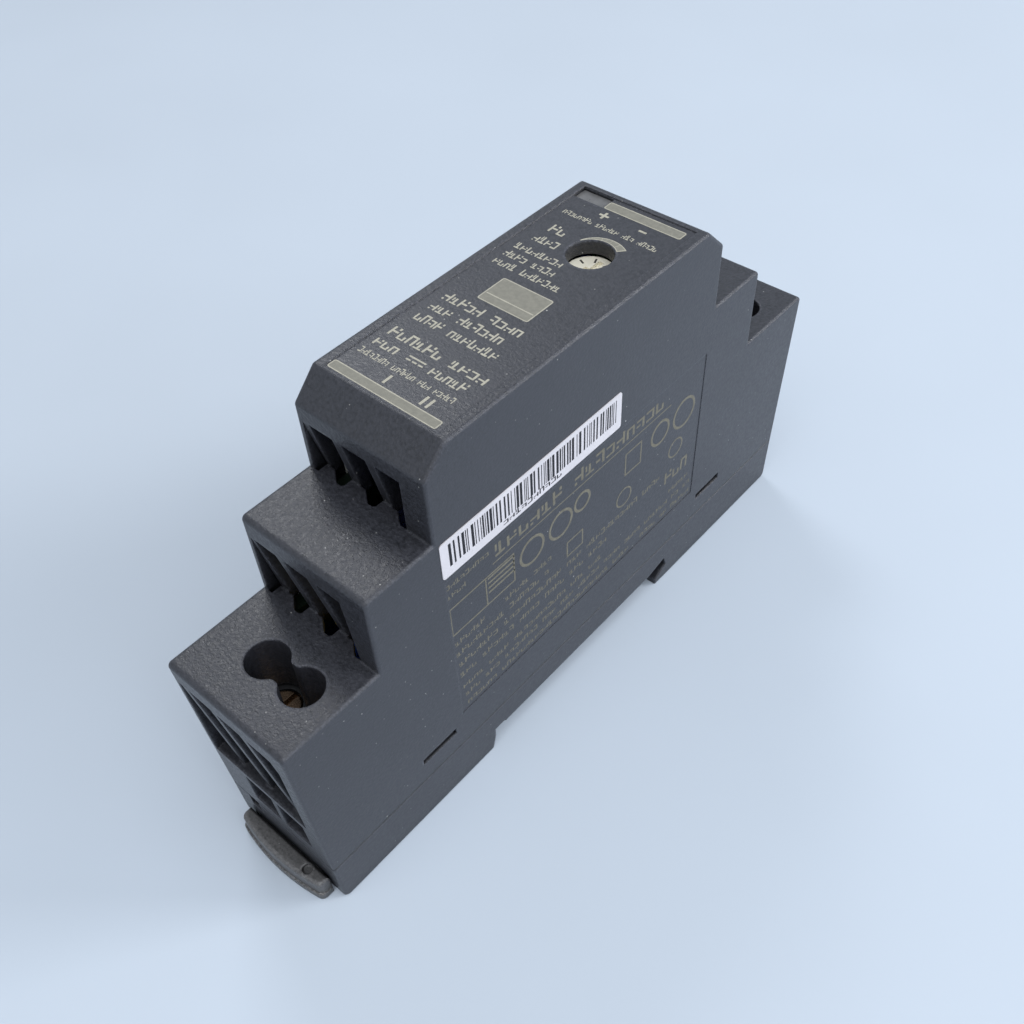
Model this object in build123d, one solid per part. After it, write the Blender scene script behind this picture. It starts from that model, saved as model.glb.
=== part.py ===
from build123d import *

# Slim one-module power supply that clips onto a 35 mm DIN rail.
# +X is the marked side face, +Y runs from the input end to the output end, +Z points out of
# the front panel. The origin is the centre of the seat that bears on the rail's flanges.
# Everything is drawn in millimetres with heights counted from the back plane (the feet), and
# each piece is lowered by rail_seat_h when it is written.
import math
import os

os.makedirs("parts", exist_ok=True)

# ---------------------------------------------------------------- driving sizes
width = 17.5  # one module, side face to side face
length = 90.0  # input end to output end
depth = 54.5  # back plane to front panel

# stepped front outline
step1_h = 32.3  # height of the terminal steps
step2_h = 43.2  # height of the middle steps
front_chamfer = 3.0  # how far below the front panel its end chamfers start
step2_half = 32.4  # half length of the middle block
block_half = 23.4  # half length of the front block
front_chamfer_len = 3.1
parting_h = 7.6  # joint between housing and base
end_lean = 1.1  # how far the end walls lean in, down to the joint
base_end_lean = 1.4  # and down to the back plane
corner_r = 0.6
edge_r = 0.35
wall = 1.2
side_wall = 1.1

# 35 mm rail and the seat for it
rail_width = 35.0
rail_flange = 1.0
rail_play = 0.2  # play at each edge of the rail
rail_seat_h = 3.5
hook_lip_reach = 2.0  # how far the fixed hook reaches under the flange
hook_root_h = 3.0
hook_tip_h = 0.95
hook_slot_rise = 0.8
foot_lead_in = 0.7
seat_relief = 0.3  # groove above the clip's nose, so that the seat's flat face stays clear of it
seat_relief_gap = 0.2

# base
base_side = 2.0
base_end = 1.3
base_floor = 1.3
joint_bevel = 0.25
joint_notch_x = -4.9
joint_notch_w = 1.7
joint_notch_h = 2.2
lip_rise = 1.3
lip_gap = 0.1
lip_thick = 0.7

# snap fit between housing and base
snap_y = 26.6
snap_window_len = 5.4
snap_window_h = 1.0
snap_window_z = 11.3
snap_gap = 0.1
snap_arm_above = 0.5

# sliding rail clip
clip_half = 5.2
clip_flange_half = 6.2
clip_low_h = 0.4
clip_flange_low_h = 1.3
clip_top_h = 2.3
clip_gap = 0.1
clip_travel = 3.0
clip_nose_reach = 1.5  # how far the nose reaches under the flange
clip_nose_half = 4.5
tab_half = 7.05
tab_reach = 2.45
tab_top_h = 3.3
tab_bow = 0.85
tab_gap = 0.3
tab_plate_top_h = 1.1
dimple_r = 0.65
spring_window_half = 2.6
spring_len = 10.8
spring_wire = 0.5
spring_turns = 5
post_len = 1.2
peg_size = 1.2
peg_x = 4.1
peg_gap = 0.35

# terminals: two poles side by side at each end
pole_pitch = 5.08
pole_mid_x = 1.32
pole_from_end = 6.8
driver_web = 0.28  # left between the two driver bores
driver_r = (pole_pitch - driver_web) / 2
driver_neck = 2.5
driver_neck_r = 0.6
sleeve_wall = 0.9
wire_w = 4.2
wire_low_h = 9.8
wire_high_h = 14.9
block_low_h = 8.5
block_top_h = 24.0
block_back = 4.6  # from the poles to the block's inner face
block_end_gap = 0.35
block_side = 0.6
screw_head_r = 1.95
screw_head_h = 1.8
screw_r = 1.5
screw_pitch = 0.5
screw_gap = 0.08
thread_gap = 0.04
shoulder = 0.8
cage_half_x = 2.05
cage_half_y = 2.2
cage_plate = 0.5
cage_foot = 0.8
cage_top_plate = 1.2
cage_gap = 0.1
cage_lift = 4.0
bar_thick = 0.8
bar_side_gap = 0.3
moving_gap = 0.3

# boards
board_thick = 1.6
board_from_side = 2.05
board_low_h = 6.2
board_margin = 3.0
board_gap = 0.06
terminal_board_gap = 0.8
lead_r = 0.3
lead_hole_gap = 0.12
lead_tail = 0.5
stand_off = 0.2

# openings in the front panel
label_depth = 0.15
label_side_rim = 1.25
label_near_rim = 0.35
label_far_rim = 0.7
trimmer_x = 1.0
trimmer_y = 9.7
trimmer_hole_r = 2.6
trimmer_collar_depth = 1.65
trimmer_collar_wall = 0.8
trimmer_hub_r = 1.0
trimmer_hub_gap = 0.05
dial_gap = 0.4
dial_thick = 0.75
dial_margin = 0.25  # how far the dial reaches under the collar
window_len = 4.1
window_w = 2.0
window_sink = 0.3
window_fit = 0.03

# cooling slots: they lean sideways, and the ribs between them fall back towards the floor
slot_pitch = 4.5
slot_w = 3.25
slot_rib_depth = 2.7
slot_rib_lean = 1.3
slot_narrow_rim = 0.8  # from the side face to the narrow slot
slot_narrow_w = 0.6
slot_narrow_drop = 1.5
slot_top_gap = 1.9  # below the chamfer's foot on the front block
slot_top_gap2 = 2.6  # below the middle step
slot_right_x = 5.25
slot_right_x2 = 4.85
slot_slant2 = 1.25
slot_tongue_w = 1.5
slot_tongue_back = 1.9
end_slot_w = 3.5
end_slot_right_x = 6.1
end_slot_limit_x = 6.9
end_slot_slant = 2.5
end_slot_low_h = 15.8
end_slot_top_h = 29.5
end_rib_lean = 0.8
end_rib_depth = wall + 0.5

# marking panel and label on the +X side
mark_half = 22.5
mark_low_h = 13.4
mark_top_h = 37.0
mark_depth = 0.06
sticker_thick = 0.08
sticker_corner_r = 0.4
sticker_y0 = -22.8
sticker_y1 = 5.6
sticker_low_h = 37.6
sticker_top_h = 42.7

# ---------------------------------------------------------------- derived sizes
half_w = width / 2
half_l = length / 2
panel_half = block_half - front_chamfer_len
front_chamfer_h = depth - front_chamfer
end_parting_half = half_l - end_lean
base_back_half = half_l - base_end_lean
inner_x = half_w - side_wall
front_floor_h = depth - label_depth  # floor of the recessed front panel
front_inner_h = depth - wall
rail_half = rail_width / 2 + rail_play
board_back_x = -(half_w - board_from_side)
board_face_x = board_back_x + board_thick
pole_y = half_l - pole_from_end
block_back_y = pole_y - block_back
label_half_x = half_w - label_side_rim
window_left_x = -label_half_x
window_right_x = window_left_x + window_len
slot_narrow_left_x = -(half_w - slot_narrow_rim)
trimmer_collar_low_h = front_floor_h - trimmer_collar_depth
pole_xs = [pole_mid_x - pole_pitch / 2, pole_mid_x + pole_pitch / 2]
block_half_x = pole_pitch / 2 + cage_half_x + cage_gap + block_side
screw_head_low_h = block_top_h - screw_head_h
trimmer_case_top_h = trimmer_collar_low_h - dial_gap - dial_thick - trimmer_hub_gap
pocket_top_h = screw_head_low_h - shoulder
bar_low_h = wire_high_h + 0.1
bar_top_h = bar_low_h + bar_thick
cage_top_h = pocket_top_h - cage_lift - cage_gap
cage_low_h = block_low_h + 0.3
cage_window_low_h = cage_low_h + cage_foot
cage_window_top_h = cage_top_h - cage_top_plate
screw_low_h = bar_top_h + moving_gap
sleeve_low_h = block_top_h + 0.4
clip_nose_y = -rail_width / 2 + clip_nose_reach
foot_wall_y = -rail_half


# ---------------------------------------------------------------- helpers
def block(x0, x1, y0, y1, z0, z1):
    """Box between two corners."""
    middle = ((x0 + x1) / 2, (y0 + y1) / 2, (z0 + z1) / 2)
    return Pos(*middle) * Box(abs(x1 - x0), abs(y1 - y0), abs(z1 - z0))


def rod(radius, start, end):
    """Round bar between two points."""
    a = Vector(*start)
    b = Vector(*end)
    plane = Plane(origin=a, z_dir=b - a)
    return plane * Cylinder(radius, (b - a).length, align=(Align.CENTER, Align.CENTER, Align.MIN))


def side_prism(points, x0, x1):
    """Outline given as (y, height) points, carried from x0 to x1."""
    outline = Polyline([(x0, y, z) for y, z in points], close=True)
    return extrude(make_face(outline), amount=x1 - x0, dir=(1, 0, 0))


def wall_prism(points, y0, y1):
    """Extrude an outline given as (x, height) points from y0 to y1."""
    face = make_face(Polyline(points, close=True))
    return Pos(0, y1, 0) * extrude(Plane.XZ * face, amount=y1 - y0)


def end_half(height):
    """Half length of the leaning end wall at a height above the joint."""
    share = (height - parting_h) / (step1_h - parting_h)
    return end_parting_half + (half_l - end_parting_half) * share


def flipped(shape):
    """The same shape at the other end."""
    return mirror(shape, about=Plane.XZ)


def write(shape, name):
    """Lower a piece so that the rail seat is at height 0, and write it."""
    export_step(Pos(0, 0, -rail_seat_h) * shape, f"parts/{name}.step")


# ---------------------------------------------------------------- housing
def stepped_points(low_h):
    """Stepped outline of the housing, as (y, height), from low_h up to the front panel."""
    far = [
        (end_half(low_h), low_h),
        (half_l, step1_h),
        (step2_half, step1_h),
        (step2_half, step2_h),
        (block_half, step2_h),
        (block_half, front_chamfer_h),
        (panel_half, depth),
    ]
    near = [(-y, z) for y, z in reversed(far)]
    return far + near


def outer_block():
    """Solid block of the housing with softened corners and edges."""
    face = make_face(Polyline([(y, z) for y, z in stepped_points(parting_h)], close=True))
    convex = [
        (half_l, step1_h),
        (step2_half, step2_h),
        (block_half, front_chamfer_h),
        (panel_half, depth),
    ]
    corners = [
        v
        for v in face.vertices()
        if any(abs(abs(v.X) - y) < 0.01 and abs(v.Y - z) < 0.01 for y, z in convex)
    ]
    outline = fillet(corners, corner_r)
    body = extrude(Plane.YZ * outline, amount=half_w, both=True)
    rims = [
        e
        for e in body.edges()
        if abs(abs(e.center().X) - half_w) < 0.001 and e.center().Z > parting_h + 0.01
    ]
    return fillet(rims, edge_r)


def inner_room():
    """Hollow inside the housing, open through the joint."""
    low_h = parting_h - wall - 1
    face = make_face(Polyline([(y, z) for y, z in stepped_points(low_h)], close=True))
    face = offset(face, amount=-wall, kind=Kind.INTERSECTION)
    return extrude(Plane.YZ * face, amount=inner_x, both=True)


def slot_edges(right_x, slot_width):
    """Left and right edge of the three full slots at their top, from the right."""
    rights = [right_x - i * slot_pitch for i in range(3)]
    return [(right - slot_width, right) for right in rights]


def slanted(x0, x1, slant, low_h, top_h):
    """Corners of a band that moves sideways by slant on its way down, as (x, height)."""
    return [(x0, top_h), (x1, top_h), (x1 + slant, low_h), (x0 + slant, low_h)]


def wall_ribs(wall_y, right_x, slant, floor_h, top_h):
    """Deeper ribs behind a slotted riser at the +Y end, one to the left of each slot."""
    inner_y = wall_y - wall
    low_h = floor_h - wall
    low_slant = slant * (top_h - low_h) / (top_h - floor_h)
    ribs = []
    for x0, _ in slot_edges(right_x, slot_w):
        band = slanted(x0 - slot_pitch + slot_w, x0, low_slant, low_h, top_h)
        ribs.append(wall_prism(band, inner_y - slot_rib_depth + wall, inner_y))
    return Part() + ribs


def tongue(x0, x1, wall_y, floor_h):
    """Opening in the step between two ribs, which reaches out to the riser at its right."""
    inside_y = wall_y - slot_rib_depth - 0.5
    points = [
        (x1, inside_y),
        (x1, wall_y - 0.25),
        (x1 - 0.25, wall_y),
        (x1 - slot_tongue_w * 0.6, wall_y),
        (x1 - slot_tongue_w, wall_y - 0.45),
        (x0, wall_y - slot_tongue_back),
        (x0, inside_y),
    ]
    face = make_face(Polyline(points, close=True))
    return Pos(0, 0, floor_h - wall - 0.01) * extrude(face, amount=wall + 0.01)


def narrow_slot(inside_y, wall_y, floor_h, top_h):
    """Wedge-shaped slot beside the plain side wall."""
    x0 = slot_narrow_left_x
    points = [(x0, top_h), (x0 + 0.1, top_h), (x0 + slot_narrow_w, floor_h), (x0, floor_h)]
    through = block(x0, x0 + slot_narrow_w, inside_y, wall_y, floor_h - wall, floor_h)
    return wall_prism(points, inside_y, wall_y) + through


def wall_slots(wall_y, right_x, slant, floor_h, top_h):
    """Slots through a riser at the +Y end, with ribs that fall back towards the step."""
    inside_y = wall_y - slot_rib_depth - 0.5
    cuts = [narrow_slot(inside_y, wall_y, floor_h, top_h - slot_narrow_drop)]
    for x0, x1 in slot_edges(right_x, slot_w):
        cuts.append(wall_prism(slanted(x0, x1, slant, floor_h, top_h), inside_y, wall_y))
        cuts.append(tongue(x0 + slant, x1 + slant, wall_y, floor_h))
    lean = [(wall_y, top_h), (wall_y, floor_h), (wall_y - slot_rib_lean, floor_h)]
    left_x = slot_narrow_left_x
    reach = [(left_x, top_h), (right_x, top_h), (right_x + slant, floor_h), (left_x, floor_h)]
    cuts.append(side_prism(lean, left_x, half_w) & wall_prism(reach, inside_y, wall_y))
    return Part() + cuts


def end_wall_bands(y0, y1):
    """The four slanted bands of the end wall's slots, cut off beside the side walls."""
    rim = block(slot_narrow_left_x, end_slot_limit_x, y0, y1, end_slot_low_h, end_slot_top_h)
    edges = slot_edges(end_slot_right_x, end_slot_w)
    edges.append((slot_narrow_left_x - end_slot_w, edges[-1][1] - slot_pitch))
    bands = []
    for x0, x1 in edges:
        band = slanted(x0, x1, end_slot_slant, end_slot_low_h, end_slot_top_h)
        bands.append(wall_prism(band, y0, y1) & rim)
    return Part() + bands


def end_wall_backing():
    """Thicker ground behind the end wall's slots, so that the ribs are deep."""
    low_y = end_half(end_slot_low_h)
    top_y = end_half(end_slot_top_h)
    points = [
        (low_y - 0.1, end_slot_low_h - 0.5),
        (top_y - 0.1, end_slot_top_h),
        (top_y - end_rib_depth, end_slot_top_h),
        (low_y - end_rib_depth, end_slot_low_h - 0.5),
    ]
    return side_prism(points, -inner_x, inner_x)


def end_wall_slots():
    """Slanted slots in the end wall, with ribs that fall back towards the bottom."""
    inside_y = end_half(end_slot_low_h) - end_rib_depth - 0.5
    low_y = end_half(end_slot_low_h)
    lean = [
        (end_half(end_slot_top_h), end_slot_top_h),
        (half_l, end_slot_top_h),
        (half_l, end_slot_low_h),
        (low_y - end_rib_lean, end_slot_low_h),
    ]
    return end_wall_bands(inside_y, half_l + 1) + side_prism(lean, slot_narrow_left_x, end_slot_limit_x)


def wire_entries():
    """Two rectangular wire holes in the end wall."""
    inside_y = end_half(wire_low_h) - wall - 0.6
    cuts = [
        block(x - wire_w / 2, x + wire_w / 2, inside_y, half_l + 1, wire_low_h, wire_high_h)
        for x in pole_xs
    ]
    return Part() + cuts


def driver_shape(grow, low_h, high_h):
    """Figure-of-eight column over the two terminal screws."""
    height = high_h - low_h
    shape = Part()
    for x in pole_xs:
        shape += rod(driver_r + grow, (x, pole_y, low_h), (x, pole_y, high_h))
    neck = Pos(pole_mid_x, pole_y, low_h + height / 2)
    return shape + neck * Box(pole_pitch, driver_neck + 2 * grow, height)


def driver_opening(low_h, high_h):
    """Figure-of-eight hole with its neck rounded into both bores."""
    shape = driver_shape(0, low_h, high_h)
    reach = pole_pitch / 2 - 0.1
    corners = [e for e in shape.edges().filter_by(Axis.Z) if abs(e.center().X - pole_mid_x) < reach]
    return fillet(corners, driver_neck_r)


def snap_windows():
    """Windows in both side walls that hold the base's hooks."""
    low_h = snap_window_z - snap_window_h / 2
    cuts = []
    for side in (-1, 1):
        for end in (-1, 1):
            y = end * snap_y
            x0 = side * (inner_x - 0.1)
            x1 = side * (half_w + 0.1)
            y0 = y - snap_window_len / 2
            cuts.append(block(x0, x1, y0, y0 + snap_window_len, low_h, low_h + snap_window_h))
    return Part() + cuts


def label_recess():
    """Shallow recess of the front panel."""
    y0 = -panel_half + label_near_rim
    y1 = panel_half - label_far_rim
    return block(-label_half_x, label_half_x, y0, y1, front_floor_h, depth + 1)


def light_window(gap, low_h, high_h):
    """Bar-shaped window in the far corner of the front panel."""
    far_y = panel_half - label_far_rim - 0.1
    x0 = window_left_x - gap
    x1 = window_right_x + gap
    return block(x0, x1, far_y - window_w - gap, far_y + gap, low_h, high_h)


def housing():
    shell = outer_block() - inner_room()
    chamfer_top = front_chamfer_h - slot_top_gap
    step_top = step2_h - slot_top_gap2
    high = (block_half, slot_right_x, 0, step2_h, chamfer_top)
    low = (step2_half, slot_right_x2, slot_slant2, step1_h, step_top)
    ribs = wall_ribs(*high) + wall_ribs(*low) + end_wall_backing()
    sleeve = driver_shape(sleeve_wall, sleeve_low_h, step1_h - wall)
    shell = shell + ribs + flipped(ribs) + sleeve + flipped(sleeve)
    collar_top = (trimmer_x, trimmer_y, front_inner_h + 0.1)
    collar_low = (trimmer_x, trimmer_y, trimmer_collar_low_h)
    shell += rod(trimmer_hole_r + trimmer_collar_wall, collar_low, collar_top)
    cuts = wall_slots(*high) + wall_slots(*low)
    cuts += end_wall_slots() + wire_entries()
    cuts += driver_opening(sleeve_low_h - 0.1, step1_h + 1)
    shell = shell - cuts - flipped(cuts) - snap_windows() - label_recess()
    hole_low = (trimmer_x, trimmer_y, trimmer_collar_low_h - 0.1)
    shell -= rod(trimmer_hole_r, hole_low, (trimmer_x, trimmer_y, depth + 1))
    shell -= light_window(window_fit, front_inner_h - 0.1, depth + 1)
    panel = block(half_w - mark_depth, half_w + 1, -mark_half, mark_half, mark_low_h, mark_top_h)
    return shell - panel


# ---------------------------------------------------------------- base
def base_outline():
    """Side view of the base: near foot, rail recess, undercut hook, far foot."""
    hook_tip_y = rail_half - hook_lip_reach
    slot_mouth_y = hook_tip_y - hook_slot_rise * 2
    return [
        (-end_parting_half, parting_h),
        (-base_back_half, 0),
        (foot_wall_y - foot_lead_in, 0),
        (foot_wall_y, rail_seat_h - rail_flange),
        (foot_wall_y, rail_seat_h + seat_relief),
        (clip_nose_y + seat_relief_gap, rail_seat_h + seat_relief),
        (clip_nose_y + seat_relief_gap, rail_seat_h),
        (slot_mouth_y, rail_seat_h),
        (rail_half - 0.3, rail_seat_h + hook_slot_rise),
        (rail_half + 0.3, hook_root_h - rail_flange / 2),
        (hook_tip_y, hook_tip_h),
        (hook_tip_y + 0.1, 0),
        (base_back_half, 0),
        (end_parting_half, parting_h),
    ]


def base_rooms():
    """Hollows inside the base, open at the top."""
    half_x = half_w - base_side
    top_h = parting_h + 1
    end_y = base_back_half - base_end
    seat_floor = rail_seat_h + base_floor
    near_floor = clip_top_h + clip_gap + base_floor
    near = block(-half_x, half_x, -end_y, foot_wall_y - base_floor, near_floor, top_h)
    far_y = rail_half + base_floor + 0.3
    middle = block(-half_x, half_x, foot_wall_y - base_floor, far_y, seat_floor + 0.3, top_h)
    far = block(-half_x, half_x, far_y, end_y, base_floor, top_h)
    return near + middle + far


def clip_channel():
    """T-shaped channel for the clip, open at the back and at both ends."""
    y0 = -half_l
    y1 = foot_wall_y + 0.01
    narrow = clip_half + clip_gap
    wide = clip_flange_half + clip_gap
    lower = block(-narrow, narrow, y0, y1, -1, clip_flange_low_h)
    low_h = clip_flange_low_h - clip_gap
    upper = block(-wide, wide, y0, y1, low_h, clip_top_h + clip_gap)
    return lower + upper


def spring_seat_y():
    """Face of the base's post that the clip spring bears on."""
    return foot_wall_y - 6.4 - spring_len


def peg_y():
    """Middle of the two pegs that stop the clip."""
    return foot_wall_y - 13.0


def clip_posts():
    """Spring post and stop pegs that hang from the channel's ceiling."""
    top_h = clip_top_h + clip_gap + 0.01
    low_h = clip_low_h + 0.2
    y1 = spring_seat_y()
    posts = block(-1.8, 1.8, y1 - post_len, y1, low_h, top_h)
    for side in (-1, 1):
        x = side * peg_x
        y = peg_y()
        half = peg_size / 2
        posts += block(x - half, x + half, y - half, y + half, low_h, top_h)
    return posts


def snap_arms():
    """Lips along the joint and four hooked arms that snap into the housing."""
    outer = inner_x - lip_gap
    inner = outer - lip_thick
    hook_low = snap_window_z - snap_window_h / 2 + snap_gap
    hook_top = snap_window_z + snap_window_h / 2 - snap_gap
    arm_half = snap_window_len / 2 - 0.3
    arms = Part()
    for side in (-1, 1):
        lip_y = base_back_half - base_end - 1
        arms += block(side * inner, side * outer, -lip_y, lip_y, parting_h - 1, parting_h + lip_rise)
        for end in (-1, 1):
            y0 = end * snap_y - arm_half
            y1 = end * snap_y + arm_half
            top = hook_top + snap_arm_above
            arms += block(side * inner, side * outer, y0, y1, parting_h - 1, top)
            reach = side * (half_w - 0.35)
            hook = Polyline(
                [
                    (side * outer, y0, hook_low),
                    (reach, y0, hook_low),
                    (side * outer, y0, hook_top),
                ],
                close=True,
            )
            arms += extrude(make_face(hook), amount=y1 - y0, dir=(0, 1, 0))
    return arms


def board_rests():
    """Slotted rests that hold the lower edge of the main board."""
    rests = Part()
    for y in (-36.0, -12.0, 12.0, 36.0):
        low_h = base_floor if y > rail_half else rail_seat_h
        x0 = -(half_w - base_side) - 0.01
        rest = block(x0, board_face_x + 1.0, y - 1, y + 1, low_h, parting_h - 1.0)
        slot_x0 = board_back_x - board_gap
        slot_x1 = board_face_x + board_gap
        rests += rest - block(slot_x0, slot_x1, y - 2, y + 2, board_low_h, parting_h)
    return rests


def joint_notch():
    """Small opening at the joint, in the end wall beside the first wire entry."""
    x0 = joint_notch_x - joint_notch_w / 2
    y1 = -base_back_half + base_end + 0.1
    return block(x0, x0 + joint_notch_w, -half_l, y1, parting_h - joint_notch_h, parting_h + 0.1)


def base():
    body = side_prism(base_outline(), -half_w, half_w)
    ends = [
        e
        for e in body.edges().filter_by(Axis.X)
        if abs(abs(e.center().Y) - base_back_half) < 0.01
    ]
    body = fillet(ends, 0.9)
    sides = [
        e
        for e in body.edges()
        if abs(abs(e.center().X) - half_w) < 0.001
        and abs(e.center().Y) > base_back_half - 1.5
        and e.center().Z < parting_h - 0.01
    ]
    body = fillet(sides, edge_r)
    body = chamfer(body.faces().sort_by(Axis.Z)[-1].edges(), joint_bevel)
    body = body - base_rooms() + board_rests() + snap_arms()
    return body - clip_channel() - joint_notch() + clip_posts()


# ---------------------------------------------------------------- rail clip
def clip_plate():
    """Slider plate with side flanges, a nose for the rail, a spring window and peg slots."""
    y0 = -base_back_half - tab_gap - 0.8
    y1 = foot_wall_y - 0.4
    lower = block(-clip_half, clip_half, y0, y1, clip_low_h, clip_top_h)
    y_flange = -base_back_half + 0.6
    half = clip_flange_half
    plate = lower + block(-half, half, y_flange, y1, clip_flange_low_h, clip_top_h)
    nose = [
        (y1 - 0.5, clip_low_h),
        (y1 - 0.5, clip_top_h),
        (clip_nose_y, clip_top_h),
        (clip_nose_y, clip_top_h - 0.5),
        (clip_nose_y - 1.5, clip_low_h),
    ]
    plate += side_prism(nose, -clip_nose_half, clip_nose_half)
    window_y0 = spring_seat_y() - post_len - 0.6
    window_y1 = spring_seat_y() + spring_len
    half = spring_window_half
    plate -= block(-half, half, window_y0, window_y1, -1, clip_top_h + 1)
    slot_half = peg_size / 2 + peg_gap
    slot_y0 = peg_y() - slot_half
    slot_y1 = peg_y() + slot_half + clip_travel
    for side in (-1, 1):
        x = side * peg_x
        x1 = x + slot_half * side
        x0 = x - slot_half * side
        plate -= block(x0, x1, slot_y0, slot_y1, -1, clip_top_h + 1)
    return plate


def clip_tab():
    """Bowed finger tab outside the base, with a thin lip below and a round dimple."""
    inner_y = -base_back_half - tab_gap
    outer_y = inner_y - tab_reach
    corner_y = outer_y + tab_bow

    def bowed(half, inset, low_h, top_h):
        side_y = corner_y + inset
        front = ThreePointArc((-half, side_y), (0, outer_y + inset), (half, side_y))
        back = Polyline((half, side_y), (half, inner_y), (-half, inner_y), (-half, side_y))
        slab = extrude(make_face([front, back]), amount=top_h - low_h)
        slab = Pos(0, 0, low_h) * slab
        uprights = slab.edges().filter_by(Axis.Z)
        return fillet(uprights.sort_by(Axis.Y)[:2], 0.8)

    bar = bowed(tab_half - 0.15, 0.2, tab_plate_top_h - 0.01, tab_top_h)
    bar = fillet(bar.faces().sort_by(Axis.Z)[-1].edges(), 0.4)
    plate = bowed(tab_half, 0.0, 0.15, tab_plate_top_h)
    dimple_y = (inner_y + outer_y) / 2 + 0.35
    dimple = rod(dimple_r, (4.25, dimple_y, tab_top_h - 0.35), (4.25, dimple_y, tab_top_h + 1))
    return bar + plate - dimple


def din_clip():
    return clip_plate() + clip_tab()


def clip_spring():
    """Flat zigzag spring between the base's post and the clip's window."""
    y0 = spring_seat_y() + spring_wire / 2
    y1 = spring_seat_y() + spring_len - spring_wire / 2
    reach = spring_window_half - moving_gap - spring_wire / 2
    step = (y1 - y0) / (2 * spring_turns)
    points = [(-reach, y0)]
    for i in range(2 * spring_turns + 1):
        side = 1 if i % 2 == 0 else -1
        y = y0 + i * step
        if i > 0:
            points.append((-side * reach, y))
        points.append((side * reach, y))
    path = Polyline(points)
    low_h = clip_low_h + 0.4
    face = trace(path, line_width=spring_wire)
    return Pos(0, 0, low_h) * extrude(face, amount=1.0)


# ---------------------------------------------------------------- terminals, drawn at the +Y end
def terminal_block():
    """Moulded two-pole body with wire tunnels, cage pockets and screw wells."""
    x0 = pole_mid_x - block_half_x
    x1 = pole_mid_x + block_half_x
    front_y = end_half(block_low_h) - wall - block_end_gap
    body = block(x0, x1, block_back_y, front_y, block_low_h, block_top_h)
    half_x = cage_half_x + cage_gap
    half_y = cage_half_y + cage_gap
    bar_half = cage_half_x - cage_plate - bar_side_gap
    for x in pole_xs:
        pocket_low = cage_low_h - 0.1
        y0 = pole_y - half_y
        y1 = pole_y + half_y
        body -= block(x - half_x, x + half_x, y0, y1, pocket_low, pocket_top_h)
        wire_half = wire_w / 2
        body -= block(x - wire_half, x + wire_half, pole_y, front_y + 1, wire_low_h, wire_high_h)
        well = (x, pole_y, block_top_h + 1)
        body -= rod(screw_head_r + screw_gap, (x, pole_y, screw_head_low_h), well)
        body -= rod(screw_r + 0.1, (x, pole_y, pocket_top_h - 0.1), well)
        leg_y0 = block_back_y + 0.4
        body -= block(x - bar_half, x + bar_half, leg_y0, y0 + 1, block_low_h - 1, bar_top_h)
    return body


def contact_bars():
    """Two bent contact bars: flat over the wire, leg and pin down through the board."""
    bars = Part()
    half = cage_half_x - cage_plate - bar_side_gap
    leg_y0 = block_back_y + 0.4
    front_y = pole_y + cage_half_y - 0.2
    pin_low = block_low_h - board_thick - lead_tail
    for x in pole_xs:
        bars += block(x - half, x + half, leg_y0, front_y, bar_low_h, bar_top_h)
        bars += block(x - half, x + half, leg_y0, leg_y0 + bar_thick, block_low_h, bar_top_h)
        bars += block(x - 0.5, x + 0.5, leg_y0, leg_y0 + bar_thick, pin_low, bar_top_h)
    return bars


def clamp_screw(x):
    """Terminal screw with a crossed slot in its head and a rounded rim."""
    top = (x, pole_y, block_top_h)
    head = rod(screw_head_r, (x, pole_y, screw_head_low_h), top)
    rim = head.faces().sort_by(Axis.Z)[-1].edges()
    head = fillet(rim, 0.25)
    for across, along in ((0.6, 2 * screw_head_r), (2.4, 0.55)):
        head -= Pos(*top) * Box(across, along, 1.8)
    return head + rod(screw_r, (x, pole_y, screw_low_h), (x, pole_y, screw_head_low_h + 0.01))


def clamp_cage(x):
    """Rising cage: a square tube around the contact bar, with the screw's hole in its top."""
    outer_x = cage_half_x
    inner = cage_half_x - cage_plate
    y0 = pole_y - cage_half_y
    y1 = pole_y + cage_half_y
    cage = block(x - outer_x, x + outer_x, y0, y1, cage_low_h, cage_top_h)
    window = block(x - inner, x + inner, y0 - 1, y1 + 1, cage_window_low_h, cage_window_top_h)
    hole = rod(screw_r + thread_gap, (x, pole_y, cage_window_low_h), (x, pole_y, cage_top_h + 1))
    return cage - window - hole


def terminal_board():
    """Small board under the terminal block, with holes for the bars' pins."""
    y0 = block_back_y - 0.2
    y1 = end_half(parting_h) - wall - terminal_board_gap
    low_h = block_low_h - board_thick
    x1 = half_w - base_side - 0.1
    board = block(board_face_x, x1, y0, y1, low_h, block_low_h)
    pin_y = block_back_y + 0.4 + bar_thick / 2
    for x in pole_xs:
        board -= Pos(x, pin_y, low_h) * Box(1.1, bar_thick + 0.1, 3 * board_thick)
    return board


# ---------------------------------------------------------------- main board and its parts
lead_spots = {}


def leads(name, spots, reach=1.0):
    """Wire leads from a part through the main board, and a note of where they pass."""
    lead_spots[name] = spots
    tails = board_back_x - lead_tail
    wires = [
        rod(lead_r, (tails, y, z), (board_face_x + stand_off + reach, y, z)) for y, z in spots
    ]
    return Part() + wires


def boxed(name, y, z, size_y, size_z, height, spots):
    """Moulded box on the board with its leads."""
    x0 = board_face_x + stand_off
    body = block(x0, x0 + height, y - size_y / 2, y + size_y / 2, z - size_z / 2, z + size_z / 2)
    body = fillet(body.edges(), 0.3)
    return body + leads(name, spots)


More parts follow.
